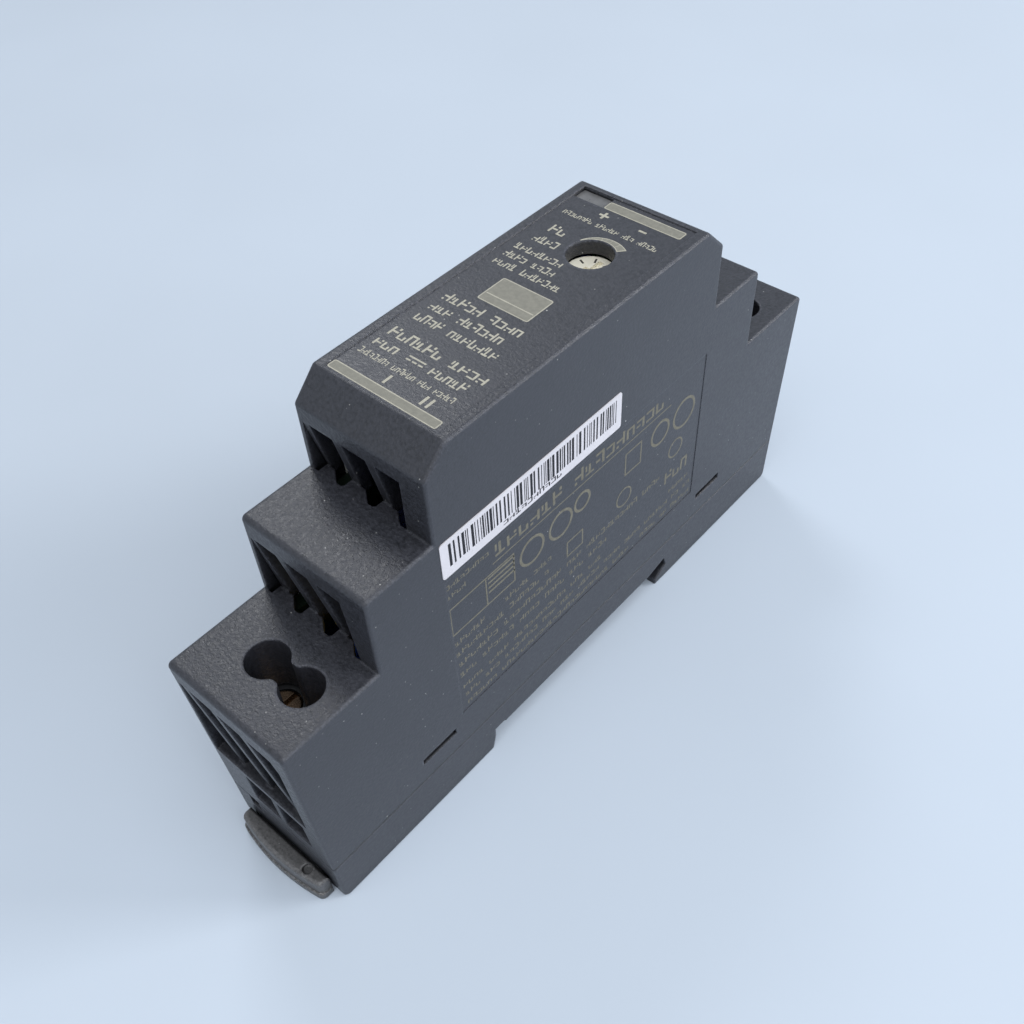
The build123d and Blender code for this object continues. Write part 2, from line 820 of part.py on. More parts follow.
def disc(name, y, z, radius, thick, lead_gap):
    """Dipped disc standing on the board, flat faces along Y, with two leads."""
    x = board_face_x + stand_off + radius
    body = rod(radius, (x, y - thick / 2, z), (x, y + thick / 2, z))
    body = fillet(body.edges(), thick * 0.3)
    spots = [(y, z - lead_gap / 2), (y, z + lead_gap / 2)]
    return body + leads(name, spots, reach=radius * 0.6)


def capacitor(name, y, low_h, radius, tall):
    """Electrolytic capacitor lying along Z, with its bead near the leads."""
    x = board_face_x + stand_off + radius
    body = rod(radius, (x, y, low_h), (x, y, low_h + tall))
    body = fillet(body.edges(), 0.4)
    bead_h = low_h + 1.8
    ring = rod(radius + 1, (x, y, bead_h - 0.3), (x, y, bead_h + 0.3))
    body -= ring - rod(radius - 0.35, (x, y, bead_h - 1), (x, y, bead_h + 1))
    return body + leads(name, [(y, low_h + 3.5), (y, low_h + tall - 3.5)])


def transformer_places():
    """Middle of the transformer on the board, and the heights of its lower and upper faces."""
    x0 = board_face_x + 0.8
    return 1.5, 26.5, x0, x0 + 11.0


def transformer_core():
    """Two E-shaped ferrite halves that meet on their legs."""
    y, z, x0, x1 = transformer_places()
    body = block(x0, x1, y - 8, y + 8, z - 2.4, z + 2.4)
    for side in (-1, 1):
        body -= block(x0 + 2, x1 - 2, y + side * 2, y + side * 5.9, z - 3, z + 3)
    middle = (x0 + x1) / 2
    return body - block(middle - 0.03, middle + 0.03, y - 9, y + 9, z - 3, z + 3)


def transformer_bobbin():
    """Bobbin: a tube on the middle leg, two flanges, and two pin rows on the board."""
    y, z, x0, x1 = transformer_places()
    low_x = x0 + 2.05
    high_x = x1 - 2.05
    body = block(low_x, high_x, y - 2.7, y + 2.7, z - 3.1, z + 3.1)
    body += block(low_x, low_x + 0.8, y - 5.7, y + 5.7, z - 6.4, z + 6.4)
    body += block(high_x - 0.8, high_x, y - 5.7, y + 5.7, z - 6.4, z + 6.4)
    body -= block(low_x - 1, high_x + 1, y - 2.05, y + 2.05, z - 2.45, z + 2.45)
    spots = []
    for side in (-1, 1):
        row_z = z + side * 5.4
        body += block(board_face_x + stand_off, low_x + 0.8, y - 5.7, y + 5.7, row_z - 1, row_z + 1)
        spots += [(y - 4.5 + 3 * i, row_z) for i in range(4)]
    return body + leads("transformer", spots)


def transformer_winding():
    """Taped winding pack between the flanges."""
    y, z, x0, x1 = transformer_places()
    low_x = x0 + 2.9
    high_x = x1 - 2.9
    pack = block(low_x, high_x, y - 5.5, y + 5.5, z - 6.0, z + 6.0)
    pack = fillet(pack.edges().filter_by(Axis.X), 1.5)
    return pack - block(low_x - 1, high_x + 1, y - 2.7, y + 2.7, z - 3.1, z + 3.1)


choke_y = -12.6
choke_z = 14.2
choke_low_x = board_face_x + 1.2


def choke_core():
    """Ferrite ring lying flat on the board."""
    low = (choke_low_x, choke_y, choke_z)
    high = (choke_low_x + 5.0, choke_y, choke_z)
    beyond = (choke_low_x + 6.0, choke_y, choke_z)
    return rod(6.0, low, high) - rod(3.6, (choke_low_x - 1, choke_y, choke_z), beyond)


def choke_windings():
    """Two windings, one on each half of the ring, with their four leads."""
    x0 = choke_low_x - 0.7
    x1 = choke_low_x + 5.7
    ring = rod(6.7, (x0, choke_y, choke_z), (x1, choke_y, choke_z))
    ring -= rod(2.9, (x0 - 1, choke_y, choke_z), (x1 + 1, choke_y, choke_z))
    ring = fillet(ring.edges(), 0.5) - choke_core()
    gap = block(x0 - 1, x1 + 1, choke_y - 1.2, choke_y + 1.2, choke_z - 8, choke_z + 8)
    spots = [(choke_y + i * 4.6, choke_z + j * 2.2) for i in (-1, 1) for j in (-1, 1)]
    return ring - gap + leads("choke", spots, reach=0.8)


def rectifier_sink():
    """Bent aluminium plate behind the output rectifier."""
    x0 = board_face_x + stand_off
    plate = block(x0, x0 + 10.5, 19.3, 20.5, 20.0, 33.5)
    return plate + block(x0 + 9.3, x0 + 10.5, 15.2, 20.5, 20.0, 33.5)


def output_inductor():
    """Rod-core inductor with its sleeve, standing along Z."""
    x = board_face_x + stand_off + 2.8
    body = rod(2.8, (x, 18.6, 8.8), (x, 18.6, 18.8))
    return fillet(body.edges(), 0.4) + leads("output_inductor", [(18.6, 10.2), (18.6, 17.4)])


def trimmer_body():
    """Square trimmer case with a bore for its rotor and three leads to the board."""
    half = 3.25
    top_h = trimmer_case_top_h
    low_h = top_h - 3.7
    case = block(trimmer_x - half, trimmer_x + half, trimmer_y - half, trimmer_y + half, low_h, top_h)
    case = fillet(case.edges().filter_by(Axis.Z), 0.5)
    bore_r = trimmer_hub_r + trimmer_hub_gap
    case -= rod(bore_r, (trimmer_x, trimmer_y, top_h - 2.0), (trimmer_x, trimmer_y, top_h + 1))
    spots = [(trimmer_y + i * 2, top_h - 2.6) for i in (-1, 0, 1)]
    reach = trimmer_x - half - board_face_x - stand_off + 0.3
    return case + leads("trimmer", spots, reach=reach)


def trimmer_rotor():
    """Dial with a screwdriver slot on a short hub."""
    top_h = trimmer_collar_low_h - dial_gap
    low_h = trimmer_case_top_h + trimmer_hub_gap
    centre = (trimmer_x, trimmer_y)
    dial = rod(trimmer_hole_r + dial_margin, (*centre, low_h), (*centre, top_h))
    dial = fillet(dial.faces().sort_by(Axis.Z)[-1].edges(), 0.15)
    dial -= Pos(*centre, top_h) * Box(0.7, 4.0, 0.9)
    dial -= Pos(*centre, top_h) * Box(1.8, 0.7, 0.9)
    hub_low = trimmer_case_top_h - 1.95
    return dial + rod(trimmer_hub_r, (*centre, hub_low), (*centre, low_h + 0.01))


def status_led():
    """Round lamp under the light pipe, with two bent leads."""
    x = board_face_x + 1.9
    far_y = panel_half - label_far_rim - 0.1
    y = far_y - window_w / 2
    low_h = front_inner_h - 6.3
    body = rod(1.5, (x, y, low_h), (x, y, low_h + 4.0))
    body = fillet(body.faces().sort_by(Axis.Z)[-1].edges(), 1.3)
    body += rod(1.8, (x, y, low_h), (x, y, low_h + 0.8))
    bend_h = low_h - 0.7
    spots = [(y - 1.27 / 2, bend_h), (y + 1.27 / 2, bend_h)]
    for spot_y, _ in spots:
        body += rod(lead_r, (x, spot_y, bend_h), (x, spot_y, low_h + 0.1))
        body += rod(lead_r, (x + lead_r, spot_y, bend_h), (x - 1, spot_y, bend_h))
    return body + leads("status_led", spots, reach=x - board_face_x - stand_off)


def light_pipe():
    """Clear bar in the front panel, with a flange behind the wall and a stem to the lamp."""
    bar = light_window(0, front_inner_h - 0.01, front_floor_h - window_sink)
    far_y = panel_half - label_far_rim - 0.1
    x1 = window_right_x + 0.4
    flange = block(window_left_x, x1, far_y - window_w - 0.3, far_y, front_inner_h - 0.9, front_inner_h)
    stem_x0 = board_face_x + 0.5
    stem_y0 = far_y - window_w + 0.1
    stem = block(stem_x0, x1, stem_y0, far_y - 0.1, front_inner_h - 1.9, front_inner_h - 0.8)
    return bar + flange + stem


def main_board():
    """Stepped upright board with a hole for every lead."""
    end_y = end_half(board_low_h) - wall - board_margin / 2
    low_step_h = step1_h - wall - 1
    mid_y = step2_half - wall - board_margin
    mid_step_h = step2_h - wall - 1
    top_y = block_half - wall - board_margin
    top_h = front_inner_h - 2.9
    far = [
        (end_y, board_low_h),
        (end_y, low_step_h),
        (mid_y, low_step_h),
        (mid_y, mid_step_h),
        (top_y, mid_step_h),
        (top_y, top_h - 2),
        (top_y - 2, top_h),
    ]
    outline = far + [(-y, z) for y, z in reversed(far)]
    board = side_prism(outline, board_back_x, board_face_x)
    hole_r = lead_r + lead_hole_gap
    for spots in lead_spots.values():
        for y, z in spots:
            board -= rod(hole_r, (board_back_x - 1, y, z), (board_face_x + 1, y, z))
    return board


def insulation_sheet():
    """Thin film between the board's solder side and the plain side wall."""
    x0 = -inner_x + 0.05
    low_h = parting_h + lip_rise + 0.2
    sheet = block(x0, x0 + 0.15, -40, 40, low_h, step1_h - wall - 1)
    sheet += block(x0, x0 + 0.15, -20, 20, low_h, front_inner_h - 3)
    half = snap_window_len / 2
    arm_top_h = snap_window_z + snap_window_h / 2 + snap_arm_above + 0.3
    for end in (-1, 1):
        y = end * snap_y
        sheet -= block(x0 - 1, x0 + 1, y - half, y + half, low_h - 1, arm_top_h)
    return sheet


def side_label():
    """Paper label on the marked side face, with its corners rounded."""
    x1 = half_w + sticker_thick
    paper = block(half_w, x1, sticker_y0, sticker_y1, sticker_low_h, sticker_top_h)
    return fillet(paper.edges().filter_by(Axis.X), sticker_corner_r)


# ---------------------------------------------------------------- write every piece
def write_terminals():
    """Both ends have the same terminals, mirrored."""
    ends = {
        "input": (flipped, ("neutral", "line")),
        "output": (lambda shape: shape, ("plus", "minus")),
    }
    for end, (place, poles) in ends.items():
        write(place(terminal_block()), f"{end}_terminal_block")
        write(place(terminal_board()), f"{end}_terminal_board")
        write(place(contact_bars()), f"{end}_contact_bars")
        for pole, x in zip(poles, pole_xs):
            write(place(clamp_screw(x)), f"{pole}_screw")
            write(place(clamp_cage(x)), f"{pole}_clamp")


def write_board_parts():
    """Parts soldered to the main board, then the board with a hole for each lead."""
    fuse_spots = [(-30.2, 14.5), (-30.2, 20.0)]
    write(boxed("fuse", -30.2, 17.2, 3.8, 8.4, 8.0, fuse_spots), "fuse")
    write(disc("varistor", -26.0, 16.6, 4.4, 3.2, 5.0), "surge_varistor")
    write(disc("thermistor", -22.2, 16.6, 3.9, 3.0, 5.0), "inrush_thermistor")
    film_spots = [(-25.2, 26.5), (-25.2, 34.5)]
    write(boxed("x_capacitor", -25.2, 30.5, 5.0, 13.0, 11.0, film_spots), "x_capacitor")
    write(choke_core(), "choke_core")
    write(choke_windings(), "choke_windings")
    bridge_spots = [(-3.4 + i * 5.2, 12.4 + j * 2.0) for i in (0, 1) for j in (-1, 1)]
    write(boxed("bridge", -0.8, 12.4, 8.2, 6.4, 3.2, bridge_spots), "bridge_rectifier")
    write(capacitor("bulk_a", -15.4, 34.6, 5.0, 16.0), "bulk_capacitor_a")
    write(capacitor("bulk_b", -4.9, 34.6, 5.0, 16.0), "bulk_capacitor_b")
    driver_spots = [(-17.8 + 2.54 * i, 28.2 + 3.0 * j) for i in range(4) for j in (-1, 1)]
    write(boxed("controller", -14.0, 28.2, 9.4, 6.6, 3.4, driver_spots), "switching_controller")
    write(transformer_core(), "transformer_core")
    write(transformer_bobbin(), "transformer_bobbin")
    write(transformer_winding(), "transformer_winding")
    write(disc("y_capacitor", 7.0, 12.6, 3.5, 2.8, 5.0), "y_capacitor")
    opto_spots = [(12.0 + 2.54 * i, 12.2 + 2.6 * j) for i in (0, 1) for j in (-1, 1)]
    write(boxed("optocoupler", 13.3, 12.2, 4.6, 6.4, 3.5, opto_spots), "optocoupler")
    diode_spots = [(16.9, 24.0), (16.9, 26.5), (16.9, 29.0)]
    write(boxed("output_diode", 16.9, 26.5, 4.4, 10.0, 8.6, diode_spots), "output_rectifier")
    write(rectifier_sink(), "rectifier_heat_sink")
    write(capacitor("output_a", 25.3, 13.0, 4.0, 11.5), "output_capacitor_a")
    write(capacitor("output_b", 25.3, 26.2, 4.0, 11.5), "output_capacitor_b")
    write(capacitor("output_c", 16.5, 34.2, 4.0, 11.5), "output_capacitor_c")
    write(output_inductor(), "output_inductor")
    write(trimmer_body(), "trimmer_body")
    write(status_led(), "status_led")
    write(main_board(), "main_board")


write(housing(), "housing")
write(base(), "base")
write(din_clip(), "din_clip")
write(clip_spring(), "clip_spring")
write(light_pipe(), "light_pipe")
write(side_label(), "side_label")
write(insulation_sheet(), "insulation_sheet")
write(trimmer_rotor(), "trimmer_rotor")
write_terminals()
write_board_parts()
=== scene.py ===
import math

import bpy
import numpy as np
from bpy.props import FloatProperty, FloatVectorProperty, IntProperty, PointerProperty
from mathutils import Matrix, Vector


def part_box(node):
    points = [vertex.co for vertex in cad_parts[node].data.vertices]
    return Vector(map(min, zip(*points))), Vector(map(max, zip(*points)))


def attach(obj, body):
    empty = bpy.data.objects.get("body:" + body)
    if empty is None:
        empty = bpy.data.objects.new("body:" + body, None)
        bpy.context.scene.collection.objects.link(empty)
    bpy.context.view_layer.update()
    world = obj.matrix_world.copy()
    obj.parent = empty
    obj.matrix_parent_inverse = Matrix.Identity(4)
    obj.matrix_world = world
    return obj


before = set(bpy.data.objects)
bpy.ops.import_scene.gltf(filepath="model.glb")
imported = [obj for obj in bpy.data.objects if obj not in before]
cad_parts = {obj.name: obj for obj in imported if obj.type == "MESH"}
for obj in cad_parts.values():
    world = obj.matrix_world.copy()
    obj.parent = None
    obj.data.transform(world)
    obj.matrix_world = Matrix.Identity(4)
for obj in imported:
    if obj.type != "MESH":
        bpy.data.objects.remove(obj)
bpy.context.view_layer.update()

bl_info = {
    "name": "Slim Rail Power Supply",
    "version": (1, 0, 0),
    "blender": (4, 5, 0),
    "location": "View3D > Sidebar > Rail Supply",
    "description": "Finishes, print, label and studio for a slim power supply on a 35 mm rail",
    "category": "Object",
}

# Everything is in metres, in the frame's own axes: +X is the marked side face, +Y runs from the
# input end to the output end, +Z points out of the front panel.
MM = 0.001
BODY = "unit"


def node_box(name):
    """Lowest and highest corner of a node, as arrays."""
    low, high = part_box(name)
    return np.array(low), np.array(high)


CASE_HIGH = node_box("housing")[1]
BASE_LOW = node_box("base")[0]
DIAL_LOW, DIAL_HIGH = node_box("trimmer_rotor")
LABEL_LOW, LABEL_HIGH = node_box("side_label")
PANEL_DEPTH = 0.15 * MM  # how deep the front panel's floor lies under the housing's front
MARK_DEPTH = 0.06 * MM  # how deep the marking panel's floor lies under the housing's side
PANEL_Z = CASE_HIGH[2] - PANEL_DEPTH
MARK_X = CASE_HIGH[0] - MARK_DEPTH
JOINT_Z = BASE_LOW[2] + 7.6 * MM  # where the housing meets the base
DIAL_X, DIAL_Y = (DIAL_LOW[:2] + DIAL_HIGH[:2]) / 2
DIAL_HOLE_R = 2.6 * MM
INK_SINK = 0.002 * MM  # how far print reaches under its surface, so that no gap shows
SECOND_COAT = 0.006 * MM  # how far print on other print stands off it


# ------------------------------------------------------------------ meshes from arrays

def add_piece(name, points, faces, material, body=BODY):
    """Makes a mesh object at the origin, dressed in a material, that rides on a body."""
    mesh = bpy.data.meshes.new(name)
    mesh.from_pydata(points.reshape(-1, 3).tolist(), [], faces)
    mesh.materials.append(material)
    mesh.update()
    piece = bpy.data.objects.new(name, mesh)
    bpy.context.scene.collection.objects.link(piece)
    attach(piece, body)
    return piece


def on_front(u, v, w):
    """Panel coordinates to the frame: u along +X, v along +Y, w out of the panel's floor."""
    return np.stack([u, v, PANEL_Z + w], axis=-1)


def on_side(u, v, w):
    """Marking coordinates to the frame: u along +Y, v up +Z, w out of the marking panel."""
    return np.stack([MARK_X + w, u, v], axis=-1)


def on_label(u, v, w):
    """Label coordinates to the frame: u along +Y, v up +Z, w out of the label's face."""
    return np.stack([LABEL_HIGH[0] + w, u, v], axis=-1)


def round_tile_outlines(middles, sizes, radius, steps):
    """Outlines of n tiles, as an (n, 4 * steps, 2) array.

    Each point is its tile's corner centre plus radius * (cos t, sin t), with t going once
    round and a quarter of it spent at each corner. The radius is capped at half the tile.
    """
    quarter = np.linspace(0, math.pi / 2, steps)
    angles = (quarter + np.arange(4)[:, None] * math.pi / 2).ravel()
    corner_x = np.repeat([1, -1, -1, 1], steps)
    corner_y = np.repeat([1, 1, -1, -1], steps)
    radii = np.minimum(radius, sizes.min(axis=1) / 2)[:, None]
    half = sizes[:, None, :] / 2 - radii[:, None]
    corner = np.stack([corner_x, corner_y], axis=-1) * half
    arc = np.stack([np.cos(angles), np.sin(angles)], axis=-1)
    return middles[:, None, :] + corner + radii[:, None] * arc


def slabs(outlines, place, low, high):
    """Points and faces of closed slabs over n outlines, between the heights low and high.

    Points are outline (i, j) at both heights. Each side face joins point j to j + 1 around,
    and an outline closes each end, the lower one reversed so that it faces down.
    """
    count, ring = outlines.shape[:2]
    u = np.stack([outlines[..., 0]] * 2, axis=1)
    v = np.stack([outlines[..., 1]] * 2, axis=1)
    w = np.broadcast_to(np.array([low, high])[None, :, None], u.shape)
    points = place(u, v, w)
    first = (np.arange(count) * 2 * ring)[:, None]
    j = np.arange(ring)[None, :]
    k = (j + 1) % ring
    sides = np.stack([first + j, first + k, first + ring + k, first + ring + j], axis=-1)
    faces = sides.reshape(-1, 4).tolist()
    faces += (first + ring + j).tolist()
    faces += (first + j[:, ::-1]).tolist()
    return points, faces


def tiles(name, middles, sizes, place, heights, material, slot, radius=0.08 * MM, steps=4):
    """Many thin rounded tiles as one piece."""
    middles = np.atleast_2d(np.array(middles, float))
    sizes = np.atleast_2d(np.array(sizes, float))
    outlines = round_tile_outlines(middles, sizes, radius, steps)
    points, faces = slabs(outlines, place, *heights)
    return add_piece(name, points, faces, material)


# Stand-in letters, which spell nothing: each is a few strokes as (left, foot, right, head) in
# shares of the letter's width and height. A letter is LETTER_SHARE of the pitch wide, and the
# letters of a row take their heights from HEIGHT_CYCLE.
LETTER_SHARE = 0.82
HEIGHT_CYCLE = np.array([1.0, 0.76, 0.76, 1.0, 0.74, 0.76, 0.94, 0.76, 1.0, 0.74, 0.78])
STROKES = (
    ((0.0, 0.0, 0.26, 1.0), (0.26, 0.41, 1.0, 0.59), (0.72, 0.75, 1.0, 1.0)),
    ((0.0, 0.82, 1.0, 1.0), (0.72, 0.0, 1.0, 0.82), (0.0, 0.3, 0.5, 0.48)),
    ((0.0, 0.0, 1.0, 0.18), (0.37, 0.18, 0.63, 1.0), (0.0, 0.45, 0.2, 1.0)),
    ((0.0, 0.82, 1.0, 1.0), (0.0, 0.0, 0.26, 0.82), (0.74, 0.0, 1.0, 0.82)),
    ((0.74, 0.0, 1.0, 1.0), (0.0, 0.41, 0.74, 0.59), (0.0, 0.0, 0.28, 0.2)),
    ((0.0, 0.0, 1.0, 0.18), (0.0, 0.18, 0.26, 1.0), (0.74, 0.18, 1.0, 0.6)),
    ((0.0, 0.82, 1.0, 1.0), (0.0, 0.0, 1.0, 0.18), (0.74, 0.18, 1.0, 0.82)),
)


def word_strokes(rows):
    """Middles and sizes of the strokes that stand in for words.

    A row is (middle height, letter height, letter pitch, left edge, word lengths), in mm.
    Letter k stands at left + pitch * k, where a space counts as one letter. Its strokes and its
    height follow fixed cycles, so that the row has tall and low letters.
    """
    middles = []
    sizes = []
    for middle, tall, pitch, left, words in rows:
        letters = np.concatenate([[1] * n + [0] for n in words])[:-1].astype(bool)
        place = np.flatnonzero(letters)
        height = tall * HEIGHT_CYCLE[(place * 7 + int(middle * 3)) % len(HEIGHT_CYCLE)]
        kind = (place * 5 + place // 3 + int(abs(middle) * 7)) % len(STROKES)
        for number, strokes in enumerate(STROKES):
            at = kind == number
            foot = np.full(at.sum(), middle - tall / 2)
            corner = np.stack([left + pitch * place[at], foot], axis=-1)
            wide = np.full(at.sum(), pitch * LETTER_SHARE)
            cell = np.stack([wide, height[at]], axis=-1)
            for x0, y0, x1, y1 in strokes:
                middles.append(corner + cell * ((x0 + x1) / 2, (y0 + y1) / 2))
                sizes.append(cell * (x1 - x0, y1 - y0))
    return np.concatenate(middles) * MM, np.concatenate(sizes) * MM


BAR_SEAM = 2e-5  # by how much a frame's upright bars fall short of the level ones, in mm


def frame_outline_tiles(middle, size, line):
    """Middles and sizes of four bars that make a rectangular frame, all in mm."""
    middle = np.array(middle)
    half = np.array(size) / 2
    middles = [
        middle + (0, half[1] - line / 2),
        middle - (0, half[1] - line / 2),
        middle + (half[0] - line / 2, 0),
        middle - (half[0] - line / 2, 0),
    ]
    inner = size[1] - 2 * line - BAR_SEAM
    sizes = [(size[0], line), (size[0], line), (line, inner), (line, inner)]
    return middles, sizes


def ring_slabs(name, circles, line, sides, place, heights, material):
    """Flat rings with a given number of sides, from rows of centre and radius.

    Ring i is four loops: outer and inner at the lower height, then inner and outer at the upper
    one. Point j of a loop is centre i plus radius i, or radius i - line, times (cos t, sin t)
    with t = 2 pi j / sides + pi / 2. Each face joins two neighbours of a loop to the next loop.
    """
    centres, radii = circles[:, :2], circles[:, 2]
    t = 2 * math.pi * np.arange(sides) / sides + math.pi / 2
    unit = np.stack([np.cos(t), np.sin(t)], axis=-1)
    reach = np.stack([radii, radii - line], axis=1)
    flat = centres[:, None, None] + reach[:, :, None, None] * unit
    flat = np.concatenate([flat, flat[:, ::-1]], axis=1)
    w = np.array([heights[0], heights[0], heights[1], heights[1]])[None, :, None]
    points = place(flat[..., 0], flat[..., 1], np.broadcast_to(w, flat.shape[:3]))
    level = np.arange(4)
    j = np.arange(sides)
    i = np.arange(len(radii))[:, None, None] * 4 * sides
    a = i + level[None, :, None] * sides + j
    b = i + level[None, :, None] * sides + (j + 1) % sides
    c = i + ((level + 1) % 4)[None, :, None] * sides + (j + 1) % sides
    d = i + ((level + 1) % 4)[None, :, None] * sides + j
    faces = np.stack([d, c, b, a], axis=-1).reshape(-1, 4).tolist()
    return add_piece(name, points, faces, material)


# ------------------------------------------------------------------ materials

MIDDLE = (0.3, 0.7)  # the range that most of a noise's values lie in


def shade(colour, factor):
    """A colour made darker or paler by a factor."""
    return tuple(min(1.0, channel * factor) for channel in colour)


class Finish:
    """A node material built on object coordinates, with sizes in metres."""

    def __init__(self, name, roughness=0.5, metallic=0.0, specular=0.5):
        self.material = bpy.data.materials.new(name)
        self.material.use_nodes = True
        self.nodes = self.material.node_tree.nodes
        self.links = self.material.node_tree.links
        self.shader = self.nodes["Principled BSDF"]
        self.shader.inputs["Roughness"].default_value = roughness
        self.shader.inputs["Metallic"].default_value = metallic
        self.shader.inputs["Specular IOR Level"].default_value = specular
        self.place = self.nodes.new("ShaderNodeTexCoord").outputs["Object"]

    def add(self, kind, **values):
        """A new node of a kind, with its settings."""
        node = self.nodes.new(kind)
        for key, value in values.items():
            setattr(node, key, value)
        return node

    def stretched(self, scale):
        """Object coordinates with each axis scaled, for grain that runs one way."""
        node = self.add("ShaderNodeMapping")
        node.inputs["Scale"].default_value = scale
        self.links.new(self.place, node.inputs["Vector"])
        return node.outputs["Vector"]

    def noise(self, size, detail=3.0, along=None):
        """Cloudy noise with patches of a size."""
        node = self.add("ShaderNodeTexNoise")
        node.inputs["Scale"].default_value = 1 / size
        node.inputs["Detail"].default_value = detail
        node.inputs["Roughness"].default_value = 0.55
        self.links.new(along or self.place, node.inputs["Vector"])
        return node.outputs["Fac"]

    def cells(self, size, feature="F1"):
        """Distance to a cell's middle, or to its edge, in cells of a size."""
        node = self.add("ShaderNodeTexVoronoi", feature=feature)
        node.inputs["Scale"].default_value = 1 / size
        self.links.new(self.place, node.inputs["Vector"])
        return node.outputs["Distance"]

    def span(self, value, low, high, to_low=0.0, to_high=1.0):
        """Maps low..high of a value to to_low..to_high, and clamps it."""
        node = self.add("ShaderNodeMapRange", clamp=True)
        numbers = (low, high, to_low, to_high)
        for socket, number in zip(("From Min", "From Max", "To Min", "To Max"), numbers):
            node.inputs[socket].default_value = number
        self.links.new(value, node.inputs["Value"])
        return node.outputs["Result"]

    def maths(self, operation, first, second=0.0):
        """One step of arithmetic on numbers or other nodes' outputs."""
        node = self.add("ShaderNodeMath", operation=operation)
        for socket, value in zip(node.inputs, (first, second)):
            if isinstance(value, (int, float)):
                socket.default_value = value
            else:
                self.links.new(value, socket)
        return node.outputs["Value"]

    def away_from(self, value, level):
        """How far a value is from a level, either way."""
        return self.maths("ABSOLUTE", self.maths("SUBTRACT", value, level))

    def blend(self, share, first, second):
        """Mixes two colours, each a tuple or another node's output, by a share."""
        node = self.add("ShaderNodeMix", data_type="RGBA")
        self.links.new(share, node.inputs["Factor"])
        for socket, value in zip((node.inputs[6], node.inputs[7]), (first, second)):
            if isinstance(value, tuple):
                socket.default_value = (*value, 1.0)
            else:
                self.links.new(value, socket)
        return node.outputs[2]

    def mottled(self, noise, colour, low, high):
        """A colour times low where a noise is low, up to the colour times high."""
        return self.blend(self.span(noise, *MIDDLE), shade(colour, low), shade(colour, high))

    def bump(self, height, depth, strength=1.0, under=None):
        """Normals of a height field with a depth, over other normals where those are given."""
        node = self.add("ShaderNodeBump")
        node.inputs["Strength"].default_value = strength
        node.inputs["Distance"].default_value = depth
        self.links.new(height, node.inputs["Height"])
        if under is not None:
            self.links.new(under, node.inputs["Normal"])
        return node.outputs["Normal"]

    def rounded(self, radius):
        """Normals that turn smoothly over the edges within a radius."""
        bevel = self.add("ShaderNodeBevel", samples=4)
        bevel.inputs["Radius"].default_value = radius
        return bevel.outputs["Normal"]

    def edge_share(self, radius, low, high):
        """How sharply the surface turns within a radius, as 0 on a flat to 1 on an edge."""
        plain = self.add("ShaderNodeNewGeometry")
        dot = self.add("ShaderNodeVectorMath", operation="DOT_PRODUCT")
        self.links.new(self.rounded(radius), dot.inputs[0])
        self.links.new(plain.outputs["Normal"], dot.inputs[1])
        return self.span(dot.outputs["Value"], high, low)

    def crevice(self, reach):
        """How open the surface is within a reach, as 0 in a deep gap to 1 in the open."""
        node = self.add("ShaderNodeAmbientOcclusion", samples=4)
        node.inputs["Distance"].default_value = reach
        return node.outputs["AO"]

    def finished(self, **sockets):
        """Links outputs to the shader's sockets, with _ for a space, and gives the material."""
        for name, value in sockets.items():
            self.links.new(value, self.shader.inputs[name.replace("_", " ")])
        return self.material


DUST = (0.5, 0.5, 0.48)
# Two sizes of dust speck: distance apart, reach as a share of that, and strength.
SPECKS = ((2.4 * MM, 0.045, 0.9), (1.3 * MM, 0.07, 0.7))
JOINT_SHADOW = (0.13 * MM, 0.25 * MM)  # how far from the joint its painted shadow line ends and has faded
PANEL_BAND = (0.03 * MM, 0.08 * MM)  # how far from the panel's floor its calm ends and has faded
EDGE_ROUND = 0.4 * MM  # radius of the soft edges
GLINT_REACH = 0.6 * MM  # how far from an edge the painted highlight reaches
